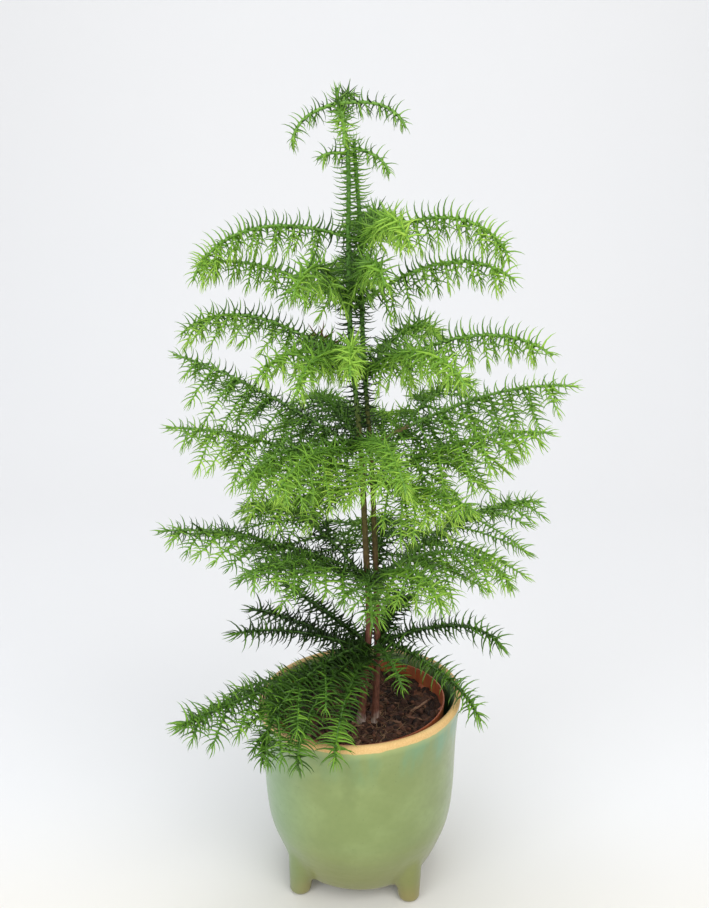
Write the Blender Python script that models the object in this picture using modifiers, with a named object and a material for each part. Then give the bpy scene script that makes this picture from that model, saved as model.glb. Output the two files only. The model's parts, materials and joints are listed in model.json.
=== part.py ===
"""A young potted Norfolk Island pine, built for the Object Factory library.

Two stems from one root ball carry whorls of drooping plumes. The root ball is in a plastic
nursery pot, and that stands in a glazed ceramic pot on four stubby feet. Units are metres,
+Z is up, and the feet stand on z = 0 with the plant centred over the origin.
"""

import math
import random
from collections import namedtuple

import bmesh
import bpy
from mathutils import Vector
from mathutils.bvhtree import BVHTree

MM = 0.001
CLEAR = 0.3 * MM
UP = Vector((0.0, 0.0, 1.0))

# The pot's axis, measured from the middle of the plant's bounding box.
POT_X = -6.4 * MM
POT_Y = -8.9 * MM

# Ceramic pot: its outer radius in millimetres at each height over its own underside.
POT_SIDE = (
    (50.4, 0.0),
    (58.0, 3.4),
    (63.2, 10.5),
    (70.0, 26.0),
    (76.6, 46.0),
    (79.7, 74.0),
    (81.0, 118.0),
    (84.4, 151.0),
)
POT_LIFT = 12.0 * MM
POT_WALL = 5.2 * MM
POT_FLOOR = 8.0 * MM
POT_STEPS = 32
POT_RIM_TILT = 0.052
POT_TILT_FROM = 105.0 * MM
POT_TOP = 165.6 * MM

# Feet of the ceramic pot: where they stand round it, how far out their upright outer sides
# are, and the cone that each is cut from.
FOOT_ANGLES = (40.0, 129.0, 217.5, 311.0)
FOOT_OUTSIDE = 71.6 * MM
FOOT_SOLE_RADIUS = 8.4 * MM
FOOT_TOP_RADIUS = 15.5 * MM
FOOT_HEIGHT = 46.0 * MM
FOOT_ROUND = 3.0 * MM
FOOT_SIDES = 14

# Nursery pot, which stands on the floor inside the ceramic pot.
NURSERY_BASE_RADIUS = 49.0 * MM
NURSERY_NECK_RADIUS = 67.0 * MM
NURSERY_LIP_RADIUS = 71.0 * MM
NURSERY_LIP_DEPTH = 14.0 * MM
NURSERY_TOP = 159.0 * MM
NURSERY_WALL = 1.3 * MM
NURSERY_STEPS = 28

# Soil, whose top is the level that the stems are cut at.
SOIL_TOP = 143.0 * MM
SOIL_EDGE_DROP = 2.5 * MM
SOIL_STEPS = 28

# Stems: each path point is a height over the ground, then x and y from the pot's axis, in
# millimetres, and the radii are at the soil without the flare, and at the tip.
Stem = namedtuple("Stem", "path foot_radius tip_radius")
STEMS = {
    "left": Stem(
        path=(
            (143, 1.0, -9.0),
            (190, 4.8, -8.5),
            (233, 7.5, -8.0),
            (301, 4.5, -6.5),
            (373, 1.0, -5.0),
            (421, -3.2, -4.0),
            (462, -7.2, -3.0),
            (539, -8.8, -2.0),
            (585, -8.6, -1.0),
            (610, -10.2, -0.5),
            (635, -16.0, 0.0),
            (645, -17.0, 0.0),
        ),
        foot_radius=3.1 * MM,
        tip_radius=0.9 * MM,
    ),
    "right": Stem(
        path=(
            (143, 12.8, -9.0),
            (190, 14.0, -6.0),
            (233, 14.1, -3.0),
            (301, 11.9, 0.0),
            (373, 8.6, 3.0),
            (413, 5.2, 4.0),
            (462, 2.0, 5.0),
            (551, -0.4, 5.0),
            (580, -2.6, 5.0),
            (602, -4.2, 5.0),
            (610, -4.6, 5.0),
        ),
        foot_radius=2.9 * MM,
        tip_radius=0.9 * MM,
    ),
}
STEM_RINGS_A_SPAN = 2
STEM_ROUNDNESS = 1
STEM_FLARE = 1.3 * MM
STEM_FLARE_HEIGHT = 9.0 * MM

# A branch has its azimuth in degrees (0 along +X, 90 along +Y), its length along the limb in
# millimetres, how steeply it leaves the stem, and how far it has bent down by its tip.
Branch = namedtuple("Branch", "azimuth length rise bend")
Whorl = namedtuple("Whorl", "stem height habit branches")
WHORLS = (
    Whorl("left", 632, "young", (
        Branch(80, 48, 30, 60),
        Branch(195, 49, -17, 85),
        Branch(275, 49, -6, 70),
        Branch(350, 54, 5, 75),
    )),
    Whorl("right", 601, "young", (
        Branch(195, 28, 12, 55),
        Branch(335, 33, -14, 60),
    )),
    Whorl("right", 536, "young", (
        Branch(80, 123, 22, 70),
        Branch(190, 139, 16, 88),
        Branch(290, 104, 35, 92),
        Branch(350, 124, 24, 97),
    )),
    Whorl("left", 491, "young", (
        Branch(88, 128, 28, 65),
        Branch(176, 118, 27, 42),
        Branch(251, 127, 43, 96),
        Branch(286, 100, 48, 98),
        Branch(352, 131, 36, 77),
    )),
    Whorl("left", 447, "young", (
        Branch(222, 98, 28, 82),
        Branch(244, 96, 23, 89),
        Branch(269, 98, 38, 95),
    )),
    Whorl("right", 438, "young", (
        Branch(55, 118, 33, 80),
        Branch(123, 79, 16, 16),
        Branch(155, 177, 30, 72),
        Branch(303, 130, 28, 69),
        Branch(352, 149, 30, 67),
    )),
    Whorl("left", 382, "grown", (
        Branch(5, 175, 27, 35),
        Branch(105, 160, 7, 21),
        Branch(165, 165, 29, 16),
        Branch(215, 112, 11, 60),
        Branch(240, 125, 17, 60),
        Branch(283, 136, 21, 61),
    )),
    Whorl("right", 352, "grown", (
        Branch(168, 112, -16, 3),
        Branch(185, 163, 23, 22),
        Branch(308, 116, 13, 27),
        Branch(335, 151, 31, 31),
        Branch(45, 148, 51, 78),
    )),
    Whorl("left", 275, "grown", (
        Branch(150, 134, 41, 72),
        Branch(187, 167, 24, 28),
        Branch(222, 134, 32, 53),
        Branch(272, 84, 16, 72),
    )),
    Whorl("right", 272, "grown", (
        Branch(30, 172, 26, 42),
        Branch(85, 143, 10, 40),
        Branch(300, 105, 37, 102),
        Branch(345, 125, 32, 106),
    )),
    Whorl("right", 216, "low", (
        Branch(8, 113, 18, 77),
        Branch(75, 114, 5, 40),
        Branch(290, 56, -2, 40),
        Branch(340, 108, -19, 49),
    )),
    Whorl("left", 211, "low", (
        Branch(152, 112, 14, 19),
        Branch(178, 109, 16, 32),
        Branch(134, 107, 12, 3),
        Branch(208, 164, -6, 6),
        Branch(238, 130, 0, 94),
        Branch(223, 143, 0, 94),
        Branch(253, 108, -3, 84),
    )),
)

# A whorl's branches leave its stem on two levels by turns, and on three where it is crowded.
WHORL_STAGGER = 4.8 * MM
WHORL_CROWDED = 7

# The longest branches start as a bare bough, this share of their length.
BOUGH_FROM = 174
BOUGH_SHARE = 0.22
BOUGH_RADIUS = 1.5 * MM
BOUGH_ROUNDNESS = 1
BOUGH_TIP_RADIUS = 1.15 * MM

# Side twigs: how far apart they stand, their greatest share of the branch's length, how far
# they hang under the branch's own plane, the angle they leave it at, how wide the needles
# stand out on each side, how far apart the blade's teeth are, and the length of branch in
# millimetres from which it has side twigs at all.
Habit = namedtuple("Habit", "spacing share hang angle needle tooth twigs_from")
HABITS = {
    "young": Habit(
        spacing=31.0, share=0.2, hang=58.0, angle=52.0, needle=8.5, tooth=15.0, twigs_from=0
    ),
    "grown": Habit(
        spacing=37.0, share=0.33, hang=14.0, angle=52.0, needle=11.0, tooth=19.0, twigs_from=0
    ),
    "low": Habit(
        spacing=34.0, share=0.38, hang=9.0, angle=46.0, needle=9.0, tooth=15.0, twigs_from=150
    ),
}
TWIG_RADIUS = 1.15 * MM
TWIG_TIP_RADIUS = 0.55 * MM
SIDE_TWIG_RADIUS = 0.8 * MM
TWIG_FIRST = 0.16
TWIG_LAST = 0.90
TWIG_SAG = 0.12
NEEDLE_FORWARD = 0.8
NEEDLE_LIFT = 0.32
SHORTEST_SIDE_TWIG = 9.0 * MM
SEED = 1795


def clear_scene():
    for thing in list(bpy.data.objects):
        bpy.data.objects.remove(thing, do_unlink=True)
    for group in list(bpy.data.collections):
        bpy.data.collections.remove(group)


def new_collection(name, helper=False):
    group = bpy.data.collections.new(name)
    bpy.context.scene.collection.children.link(group)
    group.hide_render = helper
    return group


def new_material(name, colour, roughness, coat=0.0):
    made = bpy.data.materials.new(name)
    made.use_nodes = True
    shader = made.node_tree.nodes["Principled BSDF"]
    shader.inputs["Base Color"].default_value = (*colour, 1.0)
    shader.inputs["Roughness"].default_value = roughness
    shader.inputs["Metallic"].default_value = 0.0
    shader.inputs["Coat Weight"].default_value = coat
    made.diffuse_color = (*colour, 1.0)
    return made


def new_object(name, mesh, group, material=None):
    made = bpy.data.objects.new(name, mesh)
    group.objects.link(made)
    made.display_type = "WIRE" if group.hide_render else "TEXTURED"
    if material:
        mesh.materials.clear()
        mesh.materials.append(material)
    return made


def evaluated_mesh(thing):
    """The object's mesh with its modifiers applied, its doubles merged and its faces outwards."""
    bpy.context.view_layer.update()
    graph = bpy.context.evaluated_depsgraph_get()
    mesh = bpy.data.meshes.new_from_object(thing.evaluated_get(graph))
    work = bmesh.new()
    work.from_mesh(mesh)
    bmesh.ops.remove_doubles(work, verts=work.verts, dist=0.002 * MM)
    bmesh.ops.dissolve_degenerate(work, edges=work.edges, dist=0.002 * MM)
    bmesh.ops.recalc_face_normals(work, faces=work.faces)
    work.to_mesh(mesh)
    work.free()
    return mesh


def finish(thing):
    """Swaps the object's mesh for its evaluated one, with no modifier left on it."""
    mesh = evaluated_mesh(thing)
    thing.modifiers.clear()
    thing.data = mesh


# Turned pots and soil


def turned_mesh(name, profile, steps, helpers):
    """Turns a profile of (radius, height) points round the Z axis with a Screw.

    The profile runs from the middle of the underside, up the outside, to the middle of the top
    or of the floor inside. The Screw takes it the other way round, so that its faces look out.
    """
    mesh = bpy.data.meshes.new(name)
    points = [(radius, 0.0, height) for radius, height in reversed(profile)]
    edges = [(i, i + 1) for i in range(len(points) - 1)]
    mesh.from_pydata(points, edges, [])
    blank = new_object(name + "_profile", mesh, helpers)
    screw = blank.modifiers.new("Turn", "SCREW")
    screw.steps = steps
    screw.render_steps = steps
    screw.use_merge_vertices = True
    screw.merge_threshold = 0.00001
    turned = evaluated_mesh(blank)
    bpy.data.objects.remove(blank)
    return turned


def pot_profile():
    """From the middle of the underside, over the rounded lip, to the middle of the inside floor."""
    outside = [(radius * MM, POT_LIFT + height * MM) for radius, height in POT_SIDE]
    lip_radius, lip_height = outside[-1]
    inside = [
        (radius - POT_WALL, height)
        for radius, height in outside[:1:-1]
        if height > POT_LIFT + POT_FLOOR + 6 * MM
    ]
    middle = lip_radius - POT_WALL / 2
    rise = POT_TOP - lip_height
    lip = []
    for degrees in (45, 90, 135):
        turn = math.radians(degrees)
        lip.append((middle + math.cos(turn) * POT_WALL / 2, lip_height + rise * math.sin(turn)))
    floor = POT_LIFT + POT_FLOOR
    floor_corner = [(55.5 * MM, floor + 3 * MM), (52.5 * MM, floor), (0.0, floor)]
    return [(0.0, POT_LIFT)] + outside + lip + inside + floor_corner


def tilt_rim(mesh, start, end):
    """Leans the top of a pot, as a hand-thrown one leans, and leaves its foot level."""
    for vertex in mesh.vertices:
        part = min(max((vertex.co.z - start) / (end - start), 0.0), 1.0)
        vertex.co.z += POT_RIM_TILT * vertex.co.x * part * part * (3 - 2 * part)


def wall_middle(helpers):
    """A plug that fills the pot to the middle of its floor and wall."""
    middle = [(radius * MM - POT_WALL / 2, POT_LIFT + height * MM) for radius, height in POT_SIDE]
    low = POT_LIFT + POT_FLOOR / 2
    high = POT_LIFT + POT_SIDE[5][1] * MM
    profile = [(0.0, low), (middle[0][0], low)] + middle[2:6] + [(0.0, high)]
    return new_object("wall_middle", turned_mesh("wall_middle", profile, POT_STEPS, helpers), helpers)


def foot_mesh(angle, plug, helpers):
    """A stubby foot with a flat sole: a cone, leaning in so that its outer side is upright."""
    bpy.ops.mesh.primitive_cone_add(
        vertices=FOOT_SIDES,
        radius1=FOOT_SOLE_RADIUS,
        radius2=FOOT_TOP_RADIUS,
        depth=FOOT_HEIGHT,
    )
    foot = bpy.context.object
    for group in foot.users_collection:
        group.objects.unlink(foot)
    helpers.objects.link(foot)
    foot.display_type = "WIRE"
    turn = math.radians(angle)
    outward = Vector((math.cos(turn), math.sin(turn), 0.0))
    shift = outward * (FOOT_OUTSIDE - FOOT_SOLE_RADIUS) + UP * FOOT_HEIGHT / 2
    slope = (FOOT_TOP_RADIUS - FOOT_SOLE_RADIUS) / FOOT_HEIGHT
    work = bmesh.new()
    work.from_mesh(foot.data)
    sole = [edge for edge in work.edges if all(vertex.co.z < 0 for vertex in edge.verts)]
    bmesh.ops.bevel(
        work,
        geom=sole,
        offset=FOOT_ROUND,
        offset_type="OFFSET",
        segments=2,
        profile=0.5,
        affect="EDGES",
    )
    bmesh.ops.translate(work, verts=work.verts, vec=shift)
    for vertex in work.verts:
        vertex.co -= outward * slope * vertex.co.z
    work.to_mesh(foot.data)
    work.free()
    cut = foot.modifiers.new("Cut", "BOOLEAN")
    cut.operation = "DIFFERENCE"
    cut.object = plug
    cut.solver = "EXACT"
    finish(foot)
    return foot


def union(target, parts, helpers):
    """Joins the parts into the target with one Boolean on a collection, and removes them."""
    tools = bpy.data.collections.new(target.name + "_parts")
    helpers.children.link(tools)
    for part in parts:
        for group in part.users_collection:
            group.objects.unlink(part)
        tools.objects.link(part)
    join = target.modifiers.new("Join", "BOOLEAN")
    join.operation = "UNION"
    join.operand_type = "COLLECTION"
    join.collection = tools
    join.solver = "EXACT"
    finish(target)
    for part in parts:
        bpy.data.objects.remove(part)
    bpy.data.collections.remove(tools)


def make_pot(parts, helpers, glaze):
    mesh = turned_mesh("pot", pot_profile(), POT_STEPS, helpers)
    tilt_rim(mesh, POT_TILT_FROM, POT_TOP)
    pot = new_object("pot", mesh, parts, glaze)
    plug = wall_middle(helpers)
    union(pot, [foot_mesh(angle, plug, helpers) for angle in FOOT_ANGLES], helpers)
    bpy.data.objects.remove(plug)
    return pot


def make_nursery_pot(parts, helpers, plastic):
    floor = POT_LIFT + POT_FLOOR + CLEAR
    lip_foot = NURSERY_TOP - NURSERY_LIP_DEPTH
    wall = NURSERY_WALL
    profile = [
        (0.0, floor),
        (NURSERY_BASE_RADIUS - 2 * MM, floor),
        (NURSERY_BASE_RADIUS, floor + 2 * MM),
        (NURSERY_NECK_RADIUS, lip_foot),
        (NURSERY_LIP_RADIUS - 0.8 * MM, lip_foot + 0.8 * MM),
        (NURSERY_LIP_RADIUS, NURSERY_TOP),
        (NURSERY_LIP_RADIUS - wall, NURSERY_TOP),
        (NURSERY_LIP_RADIUS - 0.8 * MM - wall, lip_foot + 1.5 * MM + wall),
        (NURSERY_NECK_RADIUS - wall, lip_foot + wall),
        (NURSERY_BASE_RADIUS - wall, floor + 2 * MM + wall),
        (NURSERY_BASE_RADIUS - 2 * MM - wall, floor + wall),
        (0.0, floor + wall),
    ]
    mesh = turned_mesh("nursery_pot", profile, NURSERY_STEPS, helpers)
    tilt_rim(mesh, POT_TILT_FROM, POT_TOP)
    return new_object("nursery_pot", mesh, parts, plastic)


def make_soil(parts, helpers, peat):
    """Fills the nursery pot. Its top is level round the stems and sinks a little at the wall."""
    floor = POT_LIFT + POT_FLOOR + NURSERY_WALL + 2 * CLEAR
    lip_foot = NURSERY_TOP - NURSERY_LIP_DEPTH
    slope = (NURSERY_NECK_RADIUS - NURSERY_BASE_RADIUS) / (lip_foot - floor)
    edge_height = SOIL_TOP - SOIL_EDGE_DROP
    base_radius = NURSERY_BASE_RADIUS - NURSERY_WALL - CLEAR - 0.2 * MM
    edge_radius = base_radius + slope * (edge_height - floor) - 0.6 * MM
    profile = [
        (0.0, floor),
        (base_radius - 2.6 * MM, floor),
        (base_radius, floor + 2.6 * MM),
        (edge_radius, edge_height),
        (edge_radius - 8 * MM, edge_height + SOIL_EDGE_DROP * 0.7),
        (edge_radius - 22 * MM, SOIL_TOP),
        (0.0, SOIL_TOP),
    ]
    mesh = turned_mesh("soil", profile, SOIL_STEPS, helpers)
    return new_object("soil", mesh, parts, peat)


# Stems and boughs


def stem_point(stem, height):
    """The middle of a stem at a height, on a smooth curve through its path."""
    path = [Vector((x, y, z)) * MM for z, x, y in STEMS[stem].path]
    last = len(path) - 2
    index = next((i for i in range(last) if path[i + 1].z >= height), last)
    before = path[max(index - 1, 0)]
    start = path[index]
    end = path[index + 1]
    after = path[min(index + 2, len(path) - 1)]
    part = (height - start.z) / (end.z - start.z)
    leave = (end - before) * (end.z - start.z) / (end.z - before.z)
    arrive = (after - start) * (end.z - start.z) / (after.z - start.z)
    point = (
        start * (2 * part**3 - 3 * part**2 + 1)
        + leave * (part**3 - 2 * part**2 + part)
        + end * (3 * part**2 - 2 * part**3)
        + arrive * (part**3 - part**2)
    )
    point.z = height
    return point


def stem_radius(stem, height):
    """The stem's taper, with a flare at the soil."""
    foot = STEMS[stem].path[0][0] * MM
    tip = STEMS[stem].path[-1][0] * MM
    part = (height - foot) / (tip - foot)
    taper = STEMS[stem].foot_radius * (1 - part) + STEMS[stem].tip_radius * part
    return taper + STEM_FLARE * math.exp(-(height - foot) / STEM_FLARE_HEIGHT)


def limb_mesh(name, points, radii, roundness, helpers):
    """A tapering limb: a curve with a round bevel, made into a closed mesh."""
    curve = bpy.data.curves.new(name, "CURVE")
    curve.dimensions = "3D"
    curve.bevel_depth = 1.0
    curve.bevel_resolution = roundness
    curve.use_fill_caps = True
    spline = curve.splines.new("POLY")
    spline.points.add(len(points) - 1)
    for knot, point, radius in zip(spline.points, points, radii):
        knot.co = (*point, 1.0)
        knot.radius = radius
    guide = bpy.data.objects.new(name + "_guide", curve)
    helpers.objects.link(guide)
    guide.display_type = "WIRE"
    mesh = evaluated_mesh(guide)
    bpy.data.objects.remove(guide)
    return mesh


def make_stem(name, parts, helpers, bark):
    foot = SOIL_TOP + CLEAR
    path = [knot[0] * MM for knot in STEMS[name].path]
    heights = [foot, foot + 4 * MM, foot + 12 * MM]
    for low, high in zip(path, path[1:]):
        for i in range(1, STEM_RINGS_A_SPAN + 1):
            heights.append(low + (high - low) * i / STEM_RINGS_A_SPAN)
    points = [stem_point(name, height) for height in heights]
    radii = [stem_radius(name, height) for height in heights]
    mesh = limb_mesh(name, points, radii, STEM_ROUNDNESS, helpers)
    for vertex in mesh.vertices:
        if vertex.co.z < foot + 1 * MM:
            vertex.co.z = foot
    return new_object(name + "_stem", mesh, parts, bark)


# Branches


def branch_arc(whorl, index, start_radius, steps):
    """Points along a branch's limb, evenly apart, from just clear of its stem to its tip."""
    branch = whorl.branches[index]
    levels = 2 if len(whorl.branches) < WHORL_CROWDED else 3
    height = whorl.height * MM + WHORL_STAGGER * (index % levels - (levels - 1) / 2)
    turn = math.radians(branch.azimuth)
    outward = Vector((math.cos(turn), math.sin(turn), 0.0))
    rise = math.radians(branch.rise)
    bend = math.radians(branch.bend)
    clear = stem_radius(whorl.stem, height) + 1.5 * CLEAR + start_radius * abs(math.sin(rise))
    point = stem_point(whorl.stem, height) + outward * clear
    points = [point.copy()]
    for i in range(steps):
        along = (i + 0.5) / steps
        lift = rise - bend * along**2
        point += (outward * math.cos(lift) + UP * math.sin(lift)) * branch.length * MM / steps
        points.append(point.copy())
    return points


def at(points, along):
    """The point and the direction at a share of the way along evenly spaced points."""
    place = min(max(along, 0.0), 1.0) * (len(points) - 1)
    index = min(int(place), len(points) - 2)
    step = points[index + 1] - points[index]
    return points[index] + step * (place - index), step.normalized()


def blade_faces(path, half_width, teeth, side, lift, thickness, grow):
    """A toothed blade along a path, ridged above and below. Each tooth leans to the tip.

    path holds one point more than there are stretches. teeth says which stretches carry a
    tooth on each side. grow makes the blade larger all round, to test that it stays clear.
    """
    last = len(path) - 1
    forward_start = (path[1] - path[0]).normalized()
    forward_end = (path[last] - path[last - 1]).normalized()
    path = [path[0] - forward_start * grow] + path[1:last] + [path[last] + forward_end * grow]
    points = []
    faces = []

    def add(point):
        points.append(point)
        return len(points) - 1

    tip = add(path[last])
    above = []
    below = []
    notch = {1: [], -1: []}
    for i in range(last):
        step = (path[i + 1] - path[i]).normalized()
        normal = side.cross(step).normalized()
        deep = thickness[0] + (thickness[1] - thickness[0]) * i / last + grow
        above.append(add(path[i] + normal * deep))
        below.append(add(path[i] - normal * deep))
        for way in (1, -1):
            notch[way].append(add(path[i] + side * way * (deep * 0.9 + grow)))
    above.append(tip)
    below.append(tip)
    notch[1].append(tip)
    notch[-1].append(tip)
    for i in range(last):
        span = path[i + 1] - path[i]
        normal = side.cross(span).normalized()
        for way in (1, -1):
            near = notch[way][i]
            far = notch[way][i + 1]
            reach = half_width * (1.0 - 0.25 * i / last) + grow
            if not teeth[i]:
                for ridge in (above, below):
                    faces.append((ridge[i], near, far))
                    if far != ridge[i + 1]:
                        faces.append((ridge[i], far, ridge[i + 1]))
                continue
            forward = span.normalized() * NEEDLE_FORWARD
            out = side * way + forward + normal * lift
            tooth = add(path[i] + span * 0.35 + out * reach)
            for ridge in (above, below):
                faces.append((ridge[i], near, tooth))
                faces.append((ridge[i], tooth, ridge[i + 1]))
                if far != ridge[i + 1]:
                    faces.append((ridge[i + 1], tooth, far))
    faces.append((above[0], notch[1][0], below[0], notch[-1][0]))
    return points, faces


def blade_mesh(name, points, faces):
    mesh = bpy.data.meshes.new(name)
    mesh.from_pydata(points, [], faces)
    work = bmesh.new()
    work.from_mesh(mesh)
    bmesh.ops.recalc_face_normals(work, faces=work.faces)
    work.to_mesh(mesh)
    work.free()
    return mesh


class Space:
    """Every piece placed so far, so that a new one is only kept where it stays clear."""

    def __init__(self):
        self.taken = []

    def add_mesh(self, node, mesh):
        points = [vertex.co.copy() for vertex in mesh.vertices]
        self.add(node, points, [tuple(face.vertices) for face in mesh.polygons])

    def add(self, node, points, faces):
        self.taken.append((node, BVHTree.FromPolygons(points, faces)))

    def is_clear(self, node, points, faces):
        tree = BVHTree.FromPolygons(points, faces)
        return not any(owner != node and tree.overlap(other) for owner, other in self.taken)


class Spray:
    """One mass of foliage: an axis along its branch's arc, with side twigs on both sides."""

    def __init__(self, whorl, index, number, first, arc):
        self.name = f"{whorl.stem}_whorl{number}_spray{index + 1}"
        self.habit = HABITS[whorl.habit]
        self.young = whorl.habit == "young"
        self.branch = whorl.branches[index]
        self.arc = arc
        self.first = first
        turn = math.radians(self.branch.azimuth)
        self.side = Vector((-math.sin(turn), math.cos(turn), 0.0))
        self.chance = random.Random(SEED + 100 * whorl.height + index)
        self.pieces = []

    def add_axis(self, space):
        """The axis runs from the stem or the bough's tip to the branch's own tip."""
        length = self.branch.length * MM * (1 - self.first)
        count = max(3, round(length / (1.6 * self.habit.tooth * MM)), round(self.branch.bend / 22))
        shares = [self.first + (1 - self.first) * i / count for i in range(count + 1)]
        path = [at(self.arc, share)[0] for share in shares]
        self.path = path
        teeth = [i > 0 or self.first > 0 for i in range(count)]
        width = self.habit.needle * MM
        thickness = (TWIG_RADIUS, TWIG_TIP_RADIUS)
        blade = blade_faces(path, width, teeth, self.side, NEEDLE_LIFT, thickness, 0.0)
        self.pieces.append(blade)
        space.add(self.name, *blade)

    def side_twigs(self):
        """Where each side twig leaves the axis, its way and its length, in pairs up the axis."""
        length = self.branch.length * MM
        start = max(self.first + 0.02, TWIG_FIRST)
        count = max(1, round((TWIG_LAST - start) * length / (self.habit.spacing * MM)))
        if self.branch.length < self.habit.twigs_from:
            count = 0
        for i in range(count):
            for way in (1, -1):
                shift = 0.5 + 0.14 * way + self.chance.uniform(-0.12, 0.12)
                along = start + (TWIG_LAST - start) * (i + shift) / count
                if self.young:
                    share = 1.0 - 0.35 * along
                else:
                    share = 1.3 * (1.0 - along) ** 0.6 * min(1.0, 0.5 + along / 0.7)
                reach = self.habit.share * length * share * self.chance.uniform(0.88, 1.1)
                yield along, way, max(reach, SHORTEST_SIDE_TWIG)

    def twig_blade(self, along, way, reach, tilt, grow):
        start = at(self.path, (along - self.first) / (1 - self.first))[0]
        forward = at(self.arc, along)[1]
        leave = math.radians(self.habit.angle)
        hang = math.radians(self.habit.hang + tilt)
        out = forward * math.cos(leave) + self.side * way * math.sin(leave)
        out = (out * math.cos(hang) - UP * math.sin(hang)).normalized()
        normal = self.side.cross(forward).normalized()
        across = out.cross(normal).normalized()
        count = min(max(2, round(reach / (self.habit.tooth * MM))), 4)
        path = []
        for i in range(count + 1):
            part = i / count
            path.append(start + out * reach * part - UP * reach * TWIG_SAG * part**2)
        thickness = (SIDE_TWIG_RADIUS, TWIG_TIP_RADIUS)
        width = min(self.habit.needle * MM, 0.42 * reach)
        return blade_faces(path, width, [True] * count, across, NEEDLE_LIFT, thickness, grow)

    def add_side_twig(self, space, along, way, reach):
        """Adds the twig where it stays clear, drooping more or less or cut shorter, or skips it."""
        for size, tilt in ((1.0, 0.0), (1.0, 12.0), (1.0, -12.0), (0.75, 0.0), (0.55, 0.0)):
            if size * reach < SHORTEST_SIDE_TWIG * 0.9:
                break
            grown = self.twig_blade(along, way, size * reach, tilt, CLEAR + 0.1 * MM)
            if space.is_clear(self.name, *grown):
                blade = self.twig_blade(along, way, size * reach, tilt, 0.0)
                self.pieces.append(blade)
                space.add(self.name, *blade)
                return

    def make(self, parts, helpers, foliage):
        made = [blade_mesh(f"{self.name}_{i}", *piece) for i, piece in enumerate(self.pieces)]
        spray = new_object(self.name, made[0], parts, foliage)
        twigs = [new_object(mesh.name, mesh, helpers) for mesh in made[1:]]
        if twigs:
            union(spray, twigs, helpers)
        return spray


def make_branches(parts, helpers, space, bark, foliage):
    """Boughs and axes first, so that every branch reaches its tip, then the side twigs by turns."""
    sprays = []
    counts = {name: 0 for name in STEMS}
    for whorl in WHORLS:
        counts[whorl.stem] += 1
        number = counts[whorl.stem]
        for index, branch in enumerate(whorl.branches):
            has_bough = branch.length >= BOUGH_FROM
            arc = branch_arc(whorl, index, BOUGH_RADIUS if has_bough else TWIG_RADIUS, 48)
            first = 0.0
            if has_bough:
                name = f"{whorl.stem}_whorl{number}_bough{index + 1}"
                knots = [at(arc, BOUGH_SHARE * i / 3)[0] for i in range(4)]
                taper = (BOUGH_TIP_RADIUS - BOUGH_RADIUS) / 3
                radii = [BOUGH_RADIUS + taper * i for i in range(4)]
                mesh = limb_mesh(name, knots, radii, BOUGH_ROUNDNESS, helpers)
                new_object(name, mesh, parts, bark)
                space.add_mesh(name, mesh)
                first = BOUGH_SHARE + CLEAR / (branch.length * MM)
            spray = Spray(whorl, index, number, first, arc)
            spray.add_axis(space)
            sprays.append(spray)
    waiting = [(spray, list(spray.side_twigs())) for spray in sprays]
    while any(twigs for _, twigs in waiting):
        for spray, twigs in waiting:
            if twigs:
                spray.add_side_twig(space, *twigs.pop(0))
    for spray in sprays:
        spray.make(parts, helpers, foliage["young" if spray.young else "grown"])


def main():
    clear_scene()
    parts = new_collection("Norfolk Island pine")
    helpers = new_collection("Helpers", helper=True)
    glaze = new_material("celadon_glaze", (0.29, 0.41, 0.20), 0.28, coat=0.4)
    plastic = new_material("terracotta_plastic", (0.39, 0.11, 0.05), 0.5)
    peat = new_material("peat", (0.045, 0.022, 0.014), 0.95)
    bark = new_material("bark", (0.17, 0.07, 0.035), 0.85)
    foliage = {
        "young": new_material("young_foliage", (0.13, 0.35, 0.05), 0.5),
        "grown": new_material("grown_foliage", (0.07, 0.24, 0.04), 0.5),
    }
    space = Space()
    solids = [
        make_pot(parts, helpers, glaze),
        make_nursery_pot(parts, helpers, plastic),
        make_soil(parts, helpers, peat),
    ]
    solids += [make_stem(name, parts, helpers, bark) for name in STEMS]
    for solid in solids:
        space.add_mesh(solid.name, solid.data)
    make_branches(parts, helpers, space, bark, foliage)
    pot_axis = bpy.data.objects.new("pot_axis", None)
    parts.objects.link(pot_axis)
    pot_axis.location = (POT_X, POT_Y, 0.0)
    for solid in parts.objects:
        if solid != pot_axis:
            solid.parent = pot_axis


main()
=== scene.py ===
"""The looks of a young potted Norfolk Island pine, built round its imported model.

Units are metres, +Z is up, and the pot's feet stand on z = 0. The file follows the plant as it is
put together: ceramic pot, nursery pot, soil, stems, branches, needles, and last the studio.
"""

import json
import math
import random
from collections import namedtuple

import bpy
import numpy as np
from mathutils import Matrix, Vector, noise
from mathutils.bvhtree import BVHTree

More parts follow.
